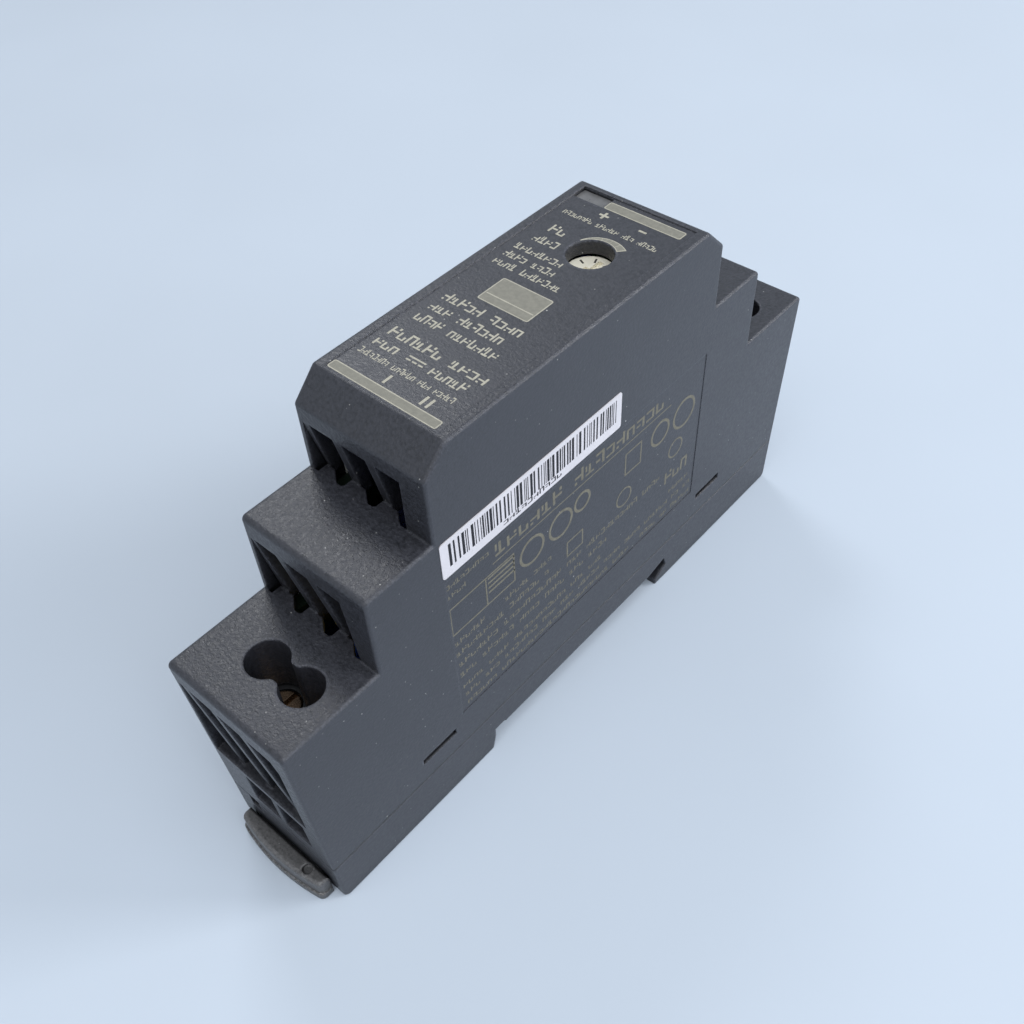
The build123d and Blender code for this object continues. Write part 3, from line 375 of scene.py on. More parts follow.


def moulded_plastic(name, colour, grain, relief, dust=1.0):
    """Spark-textured moulded plastic: pebbled skin, faint mottling, a painted highlight on the
    edges, painted shade in narrow gaps and in the joint groove, and dust.

    The two broad side faces, where |x| is near half the width, are moulded smoother, and so is
    the floor of the front panel.
    """
    finish = Finish(name, specular=0.5)
    axes = finish.add("ShaderNodeSeparateXYZ")
    finish.links.new(finish.place, axes.inputs["Vector"])
    # Strength of the texture: 1, down to 0.4 on the side faces, and 0.6 of that on the panel.
    side = finish.maths("ABSOLUTE", axes.outputs["X"])
    textured = finish.span(side, CASE_HIGH[0] - 0.35 * MM, CASE_HIGH[0] - 0.1 * MM, 1.0, 0.4)
    calm = finish.span(finish.away_from(axes.outputs["Z"], PANEL_Z), *PANEL_BAND, 0.6, 1.0)
    textured = finish.maths("MULTIPLY", textured, calm)
    mottle = finish.noise(9 * MM, detail=4.0)
    fine = finish.noise(grain * 1.2, detail=2.0)
    pebble = finish.cells(grain, feature="SMOOTH_F1")
    # The colour itself: mottled, darker between the pebbles and paler in fine flecks.
    body = finish.mottled(mottle, colour, 0.9, 1.1)
    pits = finish.maths("MULTIPLY", finish.span(pebble, 0.25, 0.6), textured)
    body = finish.blend(pits, body, shade(colour, 0.62))
    body = finish.blend(finish.span(fine, 0.35, 0.75), body, shade(colour, 1.25))
    # Painted highlight: edges made pale where glints off the rounded edges would fall, more in
    # some patches than in others.
    edge_glint = finish.edge_share(GLINT_REACH, 0.86, 0.995)
    patchy = finish.span(finish.noise(0.28 * MM), 0.42, 0.62, 0.1, 1.0)
    body = finish.blend(finish.maths("MULTIPLY", edge_glint, patchy), body, shade(colour, 3.4))
    # Painted shade: dark in narrow gaps, and a painted shadow line where the housing meets the
    # base.
    gap = finish.span(finish.crevice(4 * MM), 0.25, 0.65)
    body = finish.blend(gap, shade(colour, 0.1), body)
    # Painted shadow line in the groove where the housing meets the base.
    to_joint = finish.away_from(axes.outputs["Z"], JOINT_Z)
    body = finish.blend(finish.span(to_joint, *JOINT_SHADOW), shade(colour, 0.05), body)
    for size, reach, share in SPECKS:
        speck = finish.span(finish.cells(size), reach * 0.5, reach, 1.0, 0.0)
        patch = finish.span(finish.noise(size * 2.6, detail=1.0), 0.42, 0.56, 0.0, share * dust)
        body = finish.blend(finish.maths("MULTIPLY", speck, patch), body, DUST)
    # Pebbles over the soft edges, and finer pimples over the pebbles.
    high = finish.maths("MULTIPLY", pebble, textured)
    skin = finish.bump(high, relief, under=finish.rounded(EDGE_ROUND))
    pimples = finish.maths("MULTIPLY", finish.noise(grain * 0.45, detail=1.0), textured)
    skin = finish.bump(pimples, relief * 0.8, under=skin)
    rough = finish.span(fine, *MIDDLE, 0.30, 0.46)
    return finish.finished(Base_Color=body, Roughness=rough, Normal=skin)


def printed_ink(name, colour, patchy=0.12):
    """Pad-printed or laser-marked ink, a little uneven, with the plastic's grain under it."""
    finish = Finish(name, specular=0.3)
    uneven = finish.noise(0.5 * MM)
    tint = finish.mottled(uneven, colour, 1 - patchy, 1 + patchy)
    skin = finish.bump(finish.cells(0.3 * MM, feature="SMOOTH_F1"), 0.01 * MM)
    rough = finish.span(uneven, *MIDDLE, 0.5, 0.65)
    return finish.finished(Base_Color=tint, Roughness=rough, Normal=skin)


def satin_film(name, colour):
    """Satin polyester label stock with faint handling marks."""
    finish = Finish(name, specular=0.5)
    cloud = finish.noise(4 * MM, detail=4.0)
    tint = finish.mottled(cloud, colour, 0.94, 1.02)
    rub = finish.noise(0.7 * MM, along=finish.stretched((1.0, 0.25, 1.0)))
    rough = finish.span(rub, *MIDDLE, 0.28, 0.42)
    skin = finish.bump(finish.noise(2.5 * MM, detail=1.0), 0.01 * MM, strength=0.4)
    return finish.finished(Base_Color=tint, Roughness=rough, Normal=skin)


def plain_plastic(name, colour, roughness, spread=0.12):
    """Unprinted plastic, resin or coating with a soft mottle and a fine skin."""
    finish = Finish(name)
    tint = finish.mottled(finish.noise(2.5 * MM, detail=4.0), colour, 1 - spread, 1 + spread)
    sheen = finish.noise(0.9 * MM)
    rough = finish.span(sheen, *MIDDLE, roughness - 0.07, roughness + 0.07)
    skin = finish.bump(finish.noise(0.3 * MM), 0.006 * MM)
    return finish.finished(Base_Color=tint, Roughness=rough, Normal=skin)


def plated_metal(name, colour, roughness, along=(1.0, 1.0, 1.0)):
    """Plated metal with fine drawn lines, stains and rubbed edges."""
    finish = Finish(name, metallic=1.0)
    lines = finish.noise(0.12 * MM, detail=2.0, along=finish.stretched(along))
    stain = finish.noise(1.5 * MM, detail=4.0)
    tint = finish.blend(finish.span(stain, 0.35, 0.7), shade(colour, 0.78), colour)
    tint = finish.blend(finish.edge_share(0.15 * MM, 0.85, 0.99), tint, shade(colour, 1.25))
    rough = finish.span(lines, *MIDDLE, roughness - 0.1, roughness + 0.12)
    skin = finish.bump(lines, 0.004 * MM, strength=0.6)
    return finish.finished(Base_Color=tint, Roughness=rough, Normal=skin)


def circuit_laminate(name, colour):
    """Solder-masked board: lighter copper tracks stand up under the uneven mask."""
    finish = Finish(name, specular=0.5)
    edges = finish.cells(2.4 * MM, feature="DISTANCE_TO_EDGE")
    tracks = finish.span(edges, 0.05, 0.07, 1.0, 0.0)
    tint = finish.blend(tracks, colour, shade(colour, 1.7))
    tint = finish.blend(finish.span(finish.noise(5 * MM), 0.4, 0.7), tint, shade(colour, 1.15))
    skin = finish.bump(tracks, 0.03 * MM)
    rough = finish.span(finish.noise(0.6 * MM), *MIDDLE, 0.3, 0.42)
    return finish.finished(Base_Color=tint, Roughness=rough, Normal=skin)


def wound_wire(name, colour, band):
    """Enamelled wire in close turns: bands across the winding."""
    finish = Finish(name, specular=0.6)
    wave = finish.add("ShaderNodeTexWave", bands_direction="X")
    wave.inputs["Scale"].default_value = 1 / band
    wave.inputs["Distortion"].default_value = 0.6
    wave.inputs["Detail"].default_value = 1.0
    finish.links.new(finish.place, wave.inputs["Vector"])
    turns = wave.outputs["Fac"]
    tint = finish.blend(turns, shade(colour, 0.45), shade(colour, 1.15))
    skin = finish.bump(turns, 0.08 * MM)
    rough = finish.span(finish.noise(0.8 * MM), *MIDDLE, 0.25, 0.4)
    return finish.finished(Base_Color=tint, Roughness=rough, Normal=skin)


def frosted_pipe(name, colour):
    """Frosted clear plastic with flow lines, for the lamp window."""
    finish = Finish(name, specular=0.5)
    finish.shader.inputs["Transmission Weight"].default_value = 0.35
    finish.shader.inputs["IOR"].default_value = 1.49
    cloud = finish.noise(0.9 * MM)
    tint = finish.mottled(cloud, colour, 0.85, 1.1)
    rough = finish.span(cloud, *MIDDLE, 0.25, 0.4)
    skin = finish.bump(finish.noise(0.35 * MM), 0.01 * MM)
    return finish.finished(Base_Color=tint, Roughness=rough, Normal=skin)


def dress(material, *names):
    """Gives CAD nodes a material in place of their plain one."""
    for name in names:
        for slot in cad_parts[name].material_slots:
            slot.material = material


# ------------------------------------------------------------------ settings

class CaseSettings(bpy.types.PropertyGroup):
    """Colours and texture of the moulded case, base and clip."""

    colour: FloatVectorProperty(
        name="Case colour", description="Colour of the housing and base plastic",
        subtype="COLOR", size=3, min=0, max=1, default=(0.029, 0.030, 0.037),
    )
    clip_colour: FloatVectorProperty(
        name="Clip colour", description="Colour of the sliding rail clip",
        subtype="COLOR", size=3, min=0, max=1, default=(0.095, 0.093, 0.094),
    )
    grain: FloatProperty(
        name="Grain", description="Width of one pebble of the moulded texture",
        subtype="DISTANCE", unit="LENGTH", default=0.34 * MM, min=0.05 * MM, max=2 * MM,
    )
    relief: FloatProperty(
        name="Relief", description="Depth of the moulded texture",
        subtype="DISTANCE", unit="LENGTH", default=0.036 * MM, min=0, max=0.2 * MM,
    )


class MarkingSettings(bpy.types.PropertyGroup):
    """Printed and laser-marked surfaces."""

    ink: FloatVectorProperty(
        name="Panel ink", description="Colour of the front panel's print",
        subtype="COLOR", size=3, min=0, max=1, default=(0.40, 0.385, 0.32),
    )
    dull_ink: FloatVectorProperty(
        name="Bar ink", description="Colour of the filled bars on the front panel",
        subtype="COLOR", size=3, min=0, max=1, default=(0.21, 0.205, 0.175),
    )
    laser: FloatVectorProperty(
        name="Laser mark", description="Colour of the low-contrast marks on the side",
        subtype="COLOR", size=3, min=0, max=1, default=(0.150, 0.139, 0.106),
    )
    thickness: FloatProperty(
        name="Ink thickness", description="How far the print stands off its surface",
        subtype="DISTANCE", unit="LENGTH", default=0.012 * MM, min=0.002 * MM, max=0.1 * MM,
    )


class LabelSettings(bpy.types.PropertyGroup):
    """The film label on the side face."""

    stock: FloatVectorProperty(
        name="Label stock", description="Colour of the label",
        subtype="COLOR", size=3, min=0, max=1, default=(0.64, 0.615, 0.645),
    )
    stripes: IntProperty(
        name="Stripes", description="How many dark stripes the label carries",
        default=58, min=4, max=200,
    )


class StudioSettings(bpy.types.PropertyGroup):
    """Floor, light and camera."""

    floor: FloatVectorProperty(
        name="Floor colour", description="Colour of the floor and of what surrounds it",
        subtype="COLOR", size=3, min=0, max=1, default=(0.53, 0.60, 0.69),
    )
    lens: FloatProperty(
        name="Lens", description="Focal length of the camera",
        subtype="DISTANCE_CAMERA", default=38.1, min=10, max=200,
    )
    roll: FloatProperty(
        name="Roll", description="Turn of the camera about its own axis",
        subtype="ANGLE", unit="ROTATION", default=math.radians(3.417),
    )


SETTINGS = {
    "rail_supply_case": CaseSettings,
    "rail_supply_marking": MarkingSettings,
    "rail_supply_label": LabelSettings,
    "rail_supply_studio": StudioSettings,
}


# ------------------------------------------------------------------ operators

class RAILSUPPLY_OT_case(bpy.types.Operator):
    """Finish the housing, base and rail clip in moulded plastic"""

    bl_idname = "railsupply.case"
    bl_label = "Case and Clip"

    def execute(self, context):
        case = context.scene.rail_supply_case
        shell = moulded_plastic("case_skin", tuple(case.colour), case.grain, case.relief)
        dress(shell, "housing", "base")
        slider = moulded_plastic(
            "clip_skin", tuple(case.clip_colour), case.grain * 0.8, case.relief * 0.6, dust=0.6
        )
        dress(slider, "din_clip")
        return {"FINISHED"}


class RAILSUPPLY_OT_front_print(bpy.types.Operator):
    """Print the front panel: framed bars, polarity signs and rows of stand-in letters"""

    bl_idname = "railsupply.front_print"
    bl_label = "Front Panel Print"

    # middle height, letter height, letter pitch, left edge, word lengths; all in mm
    ROWS = (
        (14.5, 0.85, 0.50, -6.4, (8, 6, 3, 5)),
        (11.1, 1.45, 1.10, -5.4, (2,)),
        (8.7, 1.25, 0.82, -5.7, (4,)),
        (6.4, 1.05, 0.80, -6.3, (8,)),
        (4.7, 1.1, 0.75, -6.3, (4, 4)),
        (3.0, 1.1, 0.74, -6.3, (4, 7)),
        (-4.7, 1.35, 1.04, -6.1, (5, 4)),
        (-6.7, 1.3, 0.96, -6.1, (3, 6)),
        (-8.8, 1.3, 0.90, -6.1, (4, 7)),
        (-12.0, 1.4, 1.16, -6.4, (6, 4)),
        (-14.0, 1.3, 1.05, -6.5, (3,)),
        (-14.0, 1.3, 0.92, 0.9, (5,)),
        (-15.9, 0.85, 0.50, -6.8, (8, 6, 3, 5)),
    )
    # middle and size of the framed bars and plate, and of the thin rule on the plate; in mm
    BARS = (
        ((1.72, 18.2), (10.1, 1.45)),
        ((-0.3, -19.1), (14.2, 1.2)),
        ((-0.05, -0.95), (6.65, 4.2)),
    )
    RULE = ((-0.05, -1.8), (6.2, 0.14))
    EDGE = 0.13  # width in mm of the line that frames a bar
    CORNERS = (0.25 * MM, 0.15 * MM)  # corner radius of a bar and of its fill

    POLES = (-1.4, 3.75)  # middles in mm of the two terminals at either end
    LINE = 0.3  # line width in mm of the signs
    POLARITY = (-0.9, 16.3)  # a plus or minus sign's place, the first number from its pole
    ARM = 1.25  # length of the plus sign's arms
    MINUS = 1.0  # length of the minus sign
    INPUT_Y = -17.5  # middle of the input's short strokes
    INPUT_TALL = 1.3  # their length
    INPUT_STEP = 0.75  # the distance between two of them
    DC_X = -1.1  # middle of the DC sign
    DC_BARS = ((0.0, -13.75, 2.2), (-0.8, -14.25, 0.6), (0.0, -14.25, 0.6), (0.8, -14.25, 0.6))
    DC_LINE = 0.2  # line width of the DC sign

    def execute(self, context):
        marks = context.scene.rail_supply_marking
        ink = printed_ink("panel_ink", tuple(marks.ink))
        dull = printed_ink("bar_ink", tuple(marks.dull_ink))
        heights = (-INK_SINK, marks.thickness)
        over = (heights[1], heights[1] + SECOND_COAT)
        top = (over[1], over[1] + SECOND_COAT)
        middles, sizes = word_strokes(self.ROWS)
        tiles("panel_words", middles, sizes, on_front, heights, ink, "case_plastic")
        bars, spans = np.swapaxes(self.BARS, 0, 1) * MM
        outer, inner = self.CORNERS
        tiles("panel_bars", bars, spans, on_front, heights, ink, "case_plastic", outer)
        spans = spans - 2 * self.EDGE * MM
        tiles("panel_bar_fill", bars, spans, on_front, over, dull, "case_plastic", inner)
        middle, size = np.array(self.RULE) * MM
        tiles("plate_rule", middle, size, on_front, top, ink, "case_plastic")
        self.signs(heights, ink)
        return {"FINISHED"}

    def signs(self, heights, ink):
        """A plus and a minus at the output, one and two strokes at the input, and a DC sign."""
        line = self.LINE
        shift, height = self.POLARITY
        plus, minus = (x + shift for x in self.POLES)
        short = (self.ARM - line) / 2
        step = (self.ARM + line) / 4
        middles = [(plus, height), (plus, height + step), (plus, height - step), (minus, height)]
        sizes = [(self.ARM, line), (line, short), (line, short), (self.MINUS, line)]
        for strokes, x in zip((1, 2), self.POLES):
            for i in range(strokes):
                middles.append((x + self.INPUT_STEP * (i - (strokes - 1) / 2), self.INPUT_Y))
                sizes.append((line, self.INPUT_TALL))
        for x, y, long in self.DC_BARS:
            middles.append((self.DC_X + x, y))
            sizes.append((long, self.DC_LINE))
        middles = np.array(middles) * MM
        sizes = np.array(sizes) * MM
        tiles("panel_signs", middles, sizes, on_front, heights, ink, "case_plastic", 0.05 * MM)


class RAILSUPPLY_OT_dial_scale(bpy.types.Operator):
    """Print the widening scale round the trimmer's hole"""

    bl_idname = "railsupply.dial_scale"
    bl_label = "Dial Scale"

    START = math.radians(150)
    END = math.radians(47)
    INNER = DIAL_HOLE_R + 0.16 * MM  # inner radius of the scale
    THIN = 0.12 * MM  # its width at the start
    WIDE = 1.05 * MM  # its width at the end
    LEAST = 0.001 * MM  # the least width of a field, where its margins would meet
    CUTS = (136, 104, 84, 66, 49.5)  # where the dull fields meet, in degrees
    GAP = 1.2  # what is left bright before each field, in degrees
    MARGIN = 0.1 * MM  # what is left bright inside and outside a field
    POINTS = 40  # points along a field's edge

    def sector(self, name, start, end, shrink, heights, material):
        """A band round the dial's hole that widens as it goes.

        The angle goes evenly from start to end. At share s of the whole scale's sweep the band
        lies between radius INNER + shrink and INNER + THIN + (WIDE - THIN) * s - shrink.
        """
        angle = start + (end - start) * np.linspace(0, 1, self.POINTS)
        share = (self.START - angle) / (self.START - self.END)
        inner = np.full(self.POINTS, self.INNER + shrink)
        outer = self.INNER + self.THIN + (self.WIDE - self.THIN) * share - shrink
        outer = np.maximum(outer, inner + self.LEAST)
        radius = np.concatenate([inner, outer[::-1]])
        turn = np.concatenate([angle, angle[::-1]])
        flat = np.stack([DIAL_X + radius * np.cos(turn), DIAL_Y + radius * np.sin(turn)], axis=-1)
        points, faces = slabs(flat[None], on_front, *heights)
        return add_piece(name, points, faces, material)

    def execute(self, context):
        marks = context.scene.rail_supply_marking
        ink = printed_ink("scale_ink", tuple(marks.ink))
        dull = printed_ink("scale_fill_ink", tuple(marks.dull_ink))
        heights = (-INK_SINK, marks.thickness)
        over = (heights[1], heights[1] + SECOND_COAT)
        self.sector("scale_band", self.START, self.END, 0.0, heights, ink)
        cuts = np.radians(self.CUTS)
        for number, (start, end) in enumerate(zip(cuts - math.radians(self.GAP), cuts[1:])):
            self.sector(f"scale_field_{number}", start, end, self.MARGIN, over, dull)
        return {"FINISHED"}


class RAILSUPPLY_OT_side_marks(bpy.types.Operator):
    """Laser-mark the side face: rows of stand-in letters, plain frames and outlines"""

    bl_idname = "railsupply.side_marks"
    bl_label = "Side Marks"

    # middle height over the back plane, letter height, letter pitch, left edge, word lengths;
    # all in mm, as are the places and sizes below
    ROWS = (
        (35.9, 0.7, 0.72, -22.6, (9,)),
        (34.4, 0.7, 0.72, -22.6, (4,)),
        (35.3, 2.0, 1.86, -15.3, (6, 9)),
        (26.3, 0.85, 0.80, -22.3, (6,)),
        (26.3, 0.85, 0.80, -14.3, (5, 4)),
        (24.4, 0.9, 0.86, -22.3, (9, 6, 1)),
        (22.4, 0.9, 0.92, -22.1, (7, 11, 3, 11, 4)),
        (20.4, 0.9, 0.90, -22.1, (3, 6, 4, 4, 3, 4)),
        (21.0, 2.0, 1.7, 15.8, (3,)),
        (18.0, 0.8, 0.86, -21.9, (4, 4, 11, 3, 3)),
        (18.0, 0.8, 0.86, 17.0, (5,)),
        (16.3, 0.8, 0.84, -21.7, (3, 3, 7, 3, 3, 5, 4, 4, 6, 2, 2)),
        (14.5, 0.8, 0.84, -21.5, (6, 24, 4)),
        (14.5, 0.8, 0.84, 11.1, (4, 2, 5)),
    )
    # middle and size of the plain strokes
    RULES = (
        ((0.0, 33.6), (31.6, 0.16)),
        ((-17.0, 30.2), (0.2, 4.2)),
        *[((-14.6, 32.0 - row * 0.75), (4.2, 0.3)) for row in range(4)],
    )
    # middle and size of the frames, and the width of their line
    BOXES = (((-17.5, 30.2), (10.1, 4.6)), ((8.6, 30.3), (3.2, 3.6)), ((-2.2, 24.9), (3.0, 2.6)))
    BOX_LINE = 0.22
    # name, line width, number of sides, and each ring's centre and radius
    RINGS = (
        ("side_rings", 0.38, 40, (
            (-9.6, 30.3, 2.1), (-4.7, 30.3, 2.1), (-0.9, 30.9, 1.5), (13.9, 30.5, 1.9),
            (18.8, 30.3, 2.3),
        )),
        ("side_small_rings", 0.24, 32, ((7.1, 25.0, 1.5), (17.6, 25.3, 1.5))),
    )
    RISE = 0.008 * MM  # how far the marks stand off the surface

    def execute(self, context):
        marks = context.scene.rail_supply_marking
        laser = printed_ink("laser_mark", tuple(marks.laser), patchy=0.16)
        heights = (-INK_SINK, self.RISE)
        lift = (0, BASE_LOW[2])
        strokes = list(self.RULES)
        for middle, size in self.BOXES:
            strokes += zip(*frame_outline_tiles(middle, size, self.BOX_LINE))
        middles, sizes = word_strokes(self.ROWS)
        middles = np.concatenate([middles, np.array([place for place, _ in strokes]) * MM]) + lift
        sizes = np.concatenate([sizes, np.array([span for _, span in strokes]) * MM])
        tiles("side_words", middles, sizes, on_side, heights, laser, "case_plastic")
        for name, line, sides, circles in self.RINGS:
            circles = np.array(circles) * MM + (*lift, 0)
            ring_slabs(name, circles, line * MM, sides, on_side, heights, laser)
        return {"FINISHED"}


class RAILSUPPLY_OT_label(bpy.types.Operator):
    """Finish the side label and print its stripes"""

    bl_idname = "railsupply.label"
    bl_label = "Side Label"

    INK = (0.010, 0.010, 0.014)
    LEFT = 1.1 * MM  # margins of the stripes
    RIGHT = 0.8 * MM
    ABOVE = 0.65 * MM
    TALL = 3.2 * MM  # their length
    FULL = 0.9  # share of its width that a stripe fills
    WIDTHS = (1, 1, 1, 2, 2, 3)  # what the widths of stripes and gaps are drawn from
    HEIGHTS = (-0.001 * MM, 0.008 * MM)
    # a row of stand-in letters, as in word_strokes, from the label's lower left corner
    ROW = (0.85, 0.72, 0.94, 8.9, (10,))

    def execute(self, context):
        label = context.scene.rail_supply_label
        dress(satin_film("label_stock", tuple(label.stock)), "side_label")
        ink = printed_ink("label_ink", self.INK, patchy=0.15)
        rng = np.random.default_rng(7)
        widths = rng.choice(self.WIDTHS, size=2 * label.stripes)
        edges = np.concatenate([[0], np.cumsum(widths)]) / widths.sum()
        left = LABEL_LOW[1] + self.LEFT
        run = LABEL_HIGH[1] - LABEL_LOW[1] - self.LEFT - self.RIGHT
        starts = left + run * edges[:-1:2]
        ends = left + run * edges[1::2]
        middle = np.full(len(starts), LABEL_HIGH[2] - self.ABOVE - self.TALL / 2)
        middles = np.stack([(starts + ends) / 2, middle], axis=-1)
        sizes = np.stack([(ends - starts) * self.FULL, np.full(len(starts), self.TALL)], axis=-1)
        print_on = (on_label, self.HEIGHTS, ink, "label_film")
        tiles("label_stripes", middles, sizes, *print_on, radius=0.01 * MM, steps=2)
        height, tall, pitch, edge, words = self.ROW
        corner = LABEL_LOW[1:] / MM
        row = (corner[1] + height, tall, pitch, corner[0] + edge, words)
        middles, sizes = word_strokes([row])
        tiles("label_digits", middles, sizes, *print_on, radius=0.06 * MM)
        return {"FINISHED"}


class RAILSUPPLY_OT_dial(bpy.types.Operator):
    """Finish the trimmer, its dial and the lamp window"""

    bl_idname = "railsupply.dial"
    bl_label = "Dial and Lamp Window"

    TICKS = (20, 65, 110, 155, 200, 245, 290, 335)  # where the strokes stand, in degrees
    TICK_START = 1.55 * MM  # radius at a stroke's inner end
    TICK_END = 2.3 * MM  # radius at its outer end
    TICK_HALF = 0.11 * MM  # half its width
    TICK_RISE = 0.01 * MM

    def execute(self, context):
        dress(plain_plastic("dial_cream", (0.85, 0.81, 0.68), 0.45, spread=0.06), "trimmer_rotor")
        self.ticks()
        dress(plain_plastic("trimmer_case_blue", (0.03, 0.07, 0.26), 0.45), "trimmer_body")
        dress(frosted_pipe("lamp_window", (0.20, 0.20, 0.205)), "light_pipe")
        dress(plain_plastic("lamp_resin", (0.10, 0.42, 0.12), 0.2), "status_led")
        return {"FINISHED"}

    def ticks(self):
        """Dark strokes on the dial, one at each angle t.

        A stroke's corners are TICK_START and TICK_END times (cos t, sin t), plus or minus
        TICK_HALF times (-sin t, cos t).
        """
        angle = np.radians(self.TICKS)
        along = np.stack([np.cos(angle), np.sin(angle)], axis=-1)[:, None]
        across = np.stack([-np.sin(angle), np.cos(angle)], axis=-1)[:, None]
        reach = np.array([self.TICK_START, self.TICK_END, self.TICK_END, self.TICK_START])
        half = self.TICK_HALF * np.array([-1, -1, 1, 1])
        outlines = (DIAL_X, DIAL_Y) + along * reach[:, None] + across * half[:, None]
        top = DIAL_HIGH[2] - PANEL_Z
        points, faces = slabs(outlines, on_front, top - INK_SINK, top + self.TICK_RISE)
        ink = printed_ink("dial_tick_ink", (0.05, 0.045, 0.04))
        add_piece("dial_ticks", points, faces, ink, body="trimmer_dial")


class RAILSUPPLY_OT_terminals(bpy.types.Operator):
    """Finish the terminal blocks, screws, clamps and contact bars"""

    bl_idname = "railsupply.terminals"
    bl_label = "Terminals"

    POLES = ("neutral", "line", "plus", "minus")

    def execute(self, context):
        blocks = plain_plastic("terminal_moulding", (0.018, 0.019, 0.021), 0.42)
        dress(blocks, "input_terminal_block", "output_terminal_block")
        screw = plated_metal("screw_zinc", (0.26, 0.18, 0.12), 0.3)
        dress(screw, *[f"{pole}_screw" for pole in self.POLES])
        clamp = plated_metal("clamp_nickel", (0.58, 0.56, 0.52), 0.4, along=(1.0, 1.0, 0.1))
        dress(clamp, *[f"{pole}_clamp" for pole in self.POLES])
        bar = plated_metal("contact_tin", (0.70, 0.60, 0.42), 0.32, along=(1.0, 0.1, 1.0))
        dress(bar, "input_contact_bars", "output_contact_bars")
        dress(plated_metal("spring_wire", (0.5, 0.5, 0.52), 0.3), "clip_spring")
        return {"FINISHED"}


class RAILSUPPLY_OT_boards(bpy.types.Operator):
    """Finish the boards, the insulation sheet and the parts on the main board"""

    bl_idname = "railsupply.boards"
    bl_label = "Boards and Parts"

    # colour and roughness of each plastic, resin or coating
    PLASTICS = {
        "fuse": ((0.02, 0.02, 0.022), 0.4),
        "surge_varistor": ((0.03, 0.09, 0.42), 0.35),
        "inrush_thermistor": ((0.035, 0.04, 0.035), 0.4),
        "x_capacitor": ((0.62, 0.44, 0.05), 0.45),
        "y_capacitor": ((0.05, 0.22, 0.48), 0.35),
        "optocoupler": ((0.60, 0.58, 0.52), 0.5),
        "output_inductor": ((0.02, 0.02, 0.02), 0.5),
        "transformer_bobbin": ((0.03, 0.03, 0.03), 0.5),
        "transformer_winding": ((0.68, 0.50, 0.05), 0.3),
        "insulation_sheet": ((0.62, 0.63, 0.60), 0.35),
    }

    def execute(self, context):
        boards = ("main_board", "input_terminal_board", "output_terminal_board")
        dress(circuit_laminate("board_mask", (0.005, 0.010, 0.006)), *boards)
        for name, (colour, roughness) in self.PLASTICS.items():
            dress(plain_plastic(f"{name}_skin", colour, roughness), name)
        epoxy = plain_plastic("chip_epoxy_skin", (0.014, 0.014, 0.016), 0.5)
        dress(epoxy, "bridge_rectifier", "switching_controller", "output_rectifier")
        ferrite = plain_plastic("ferrite_skin", (0.035, 0.035, 0.04), 0.6)
        dress(ferrite, "choke_core", "transformer_core")
        dress(wound_wire("choke_enamel", (0.42, 0.16, 0.05), 0.9 * MM), "choke_windings")
        sleeve = plain_plastic("bulk_sleeve", (0.012, 0.016, 0.05), 0.3)
        dress(sleeve, "bulk_capacitor_a", "bulk_capacitor_b")
        sleeve = plain_plastic("output_sleeve_skin", (0.012, 0.05, 0.035), 0.3)
        dress(sleeve, *[f"output_capacitor_{letter}" for letter in "abc"])
        sink = plated_metal("sink_aluminium_skin", (0.68, 0.68, 0.70), 0.4, along=(1.0, 1.0, 0.1))
        dress(sink, "rectifier_heat_sink")
        return {"FINISHED"}


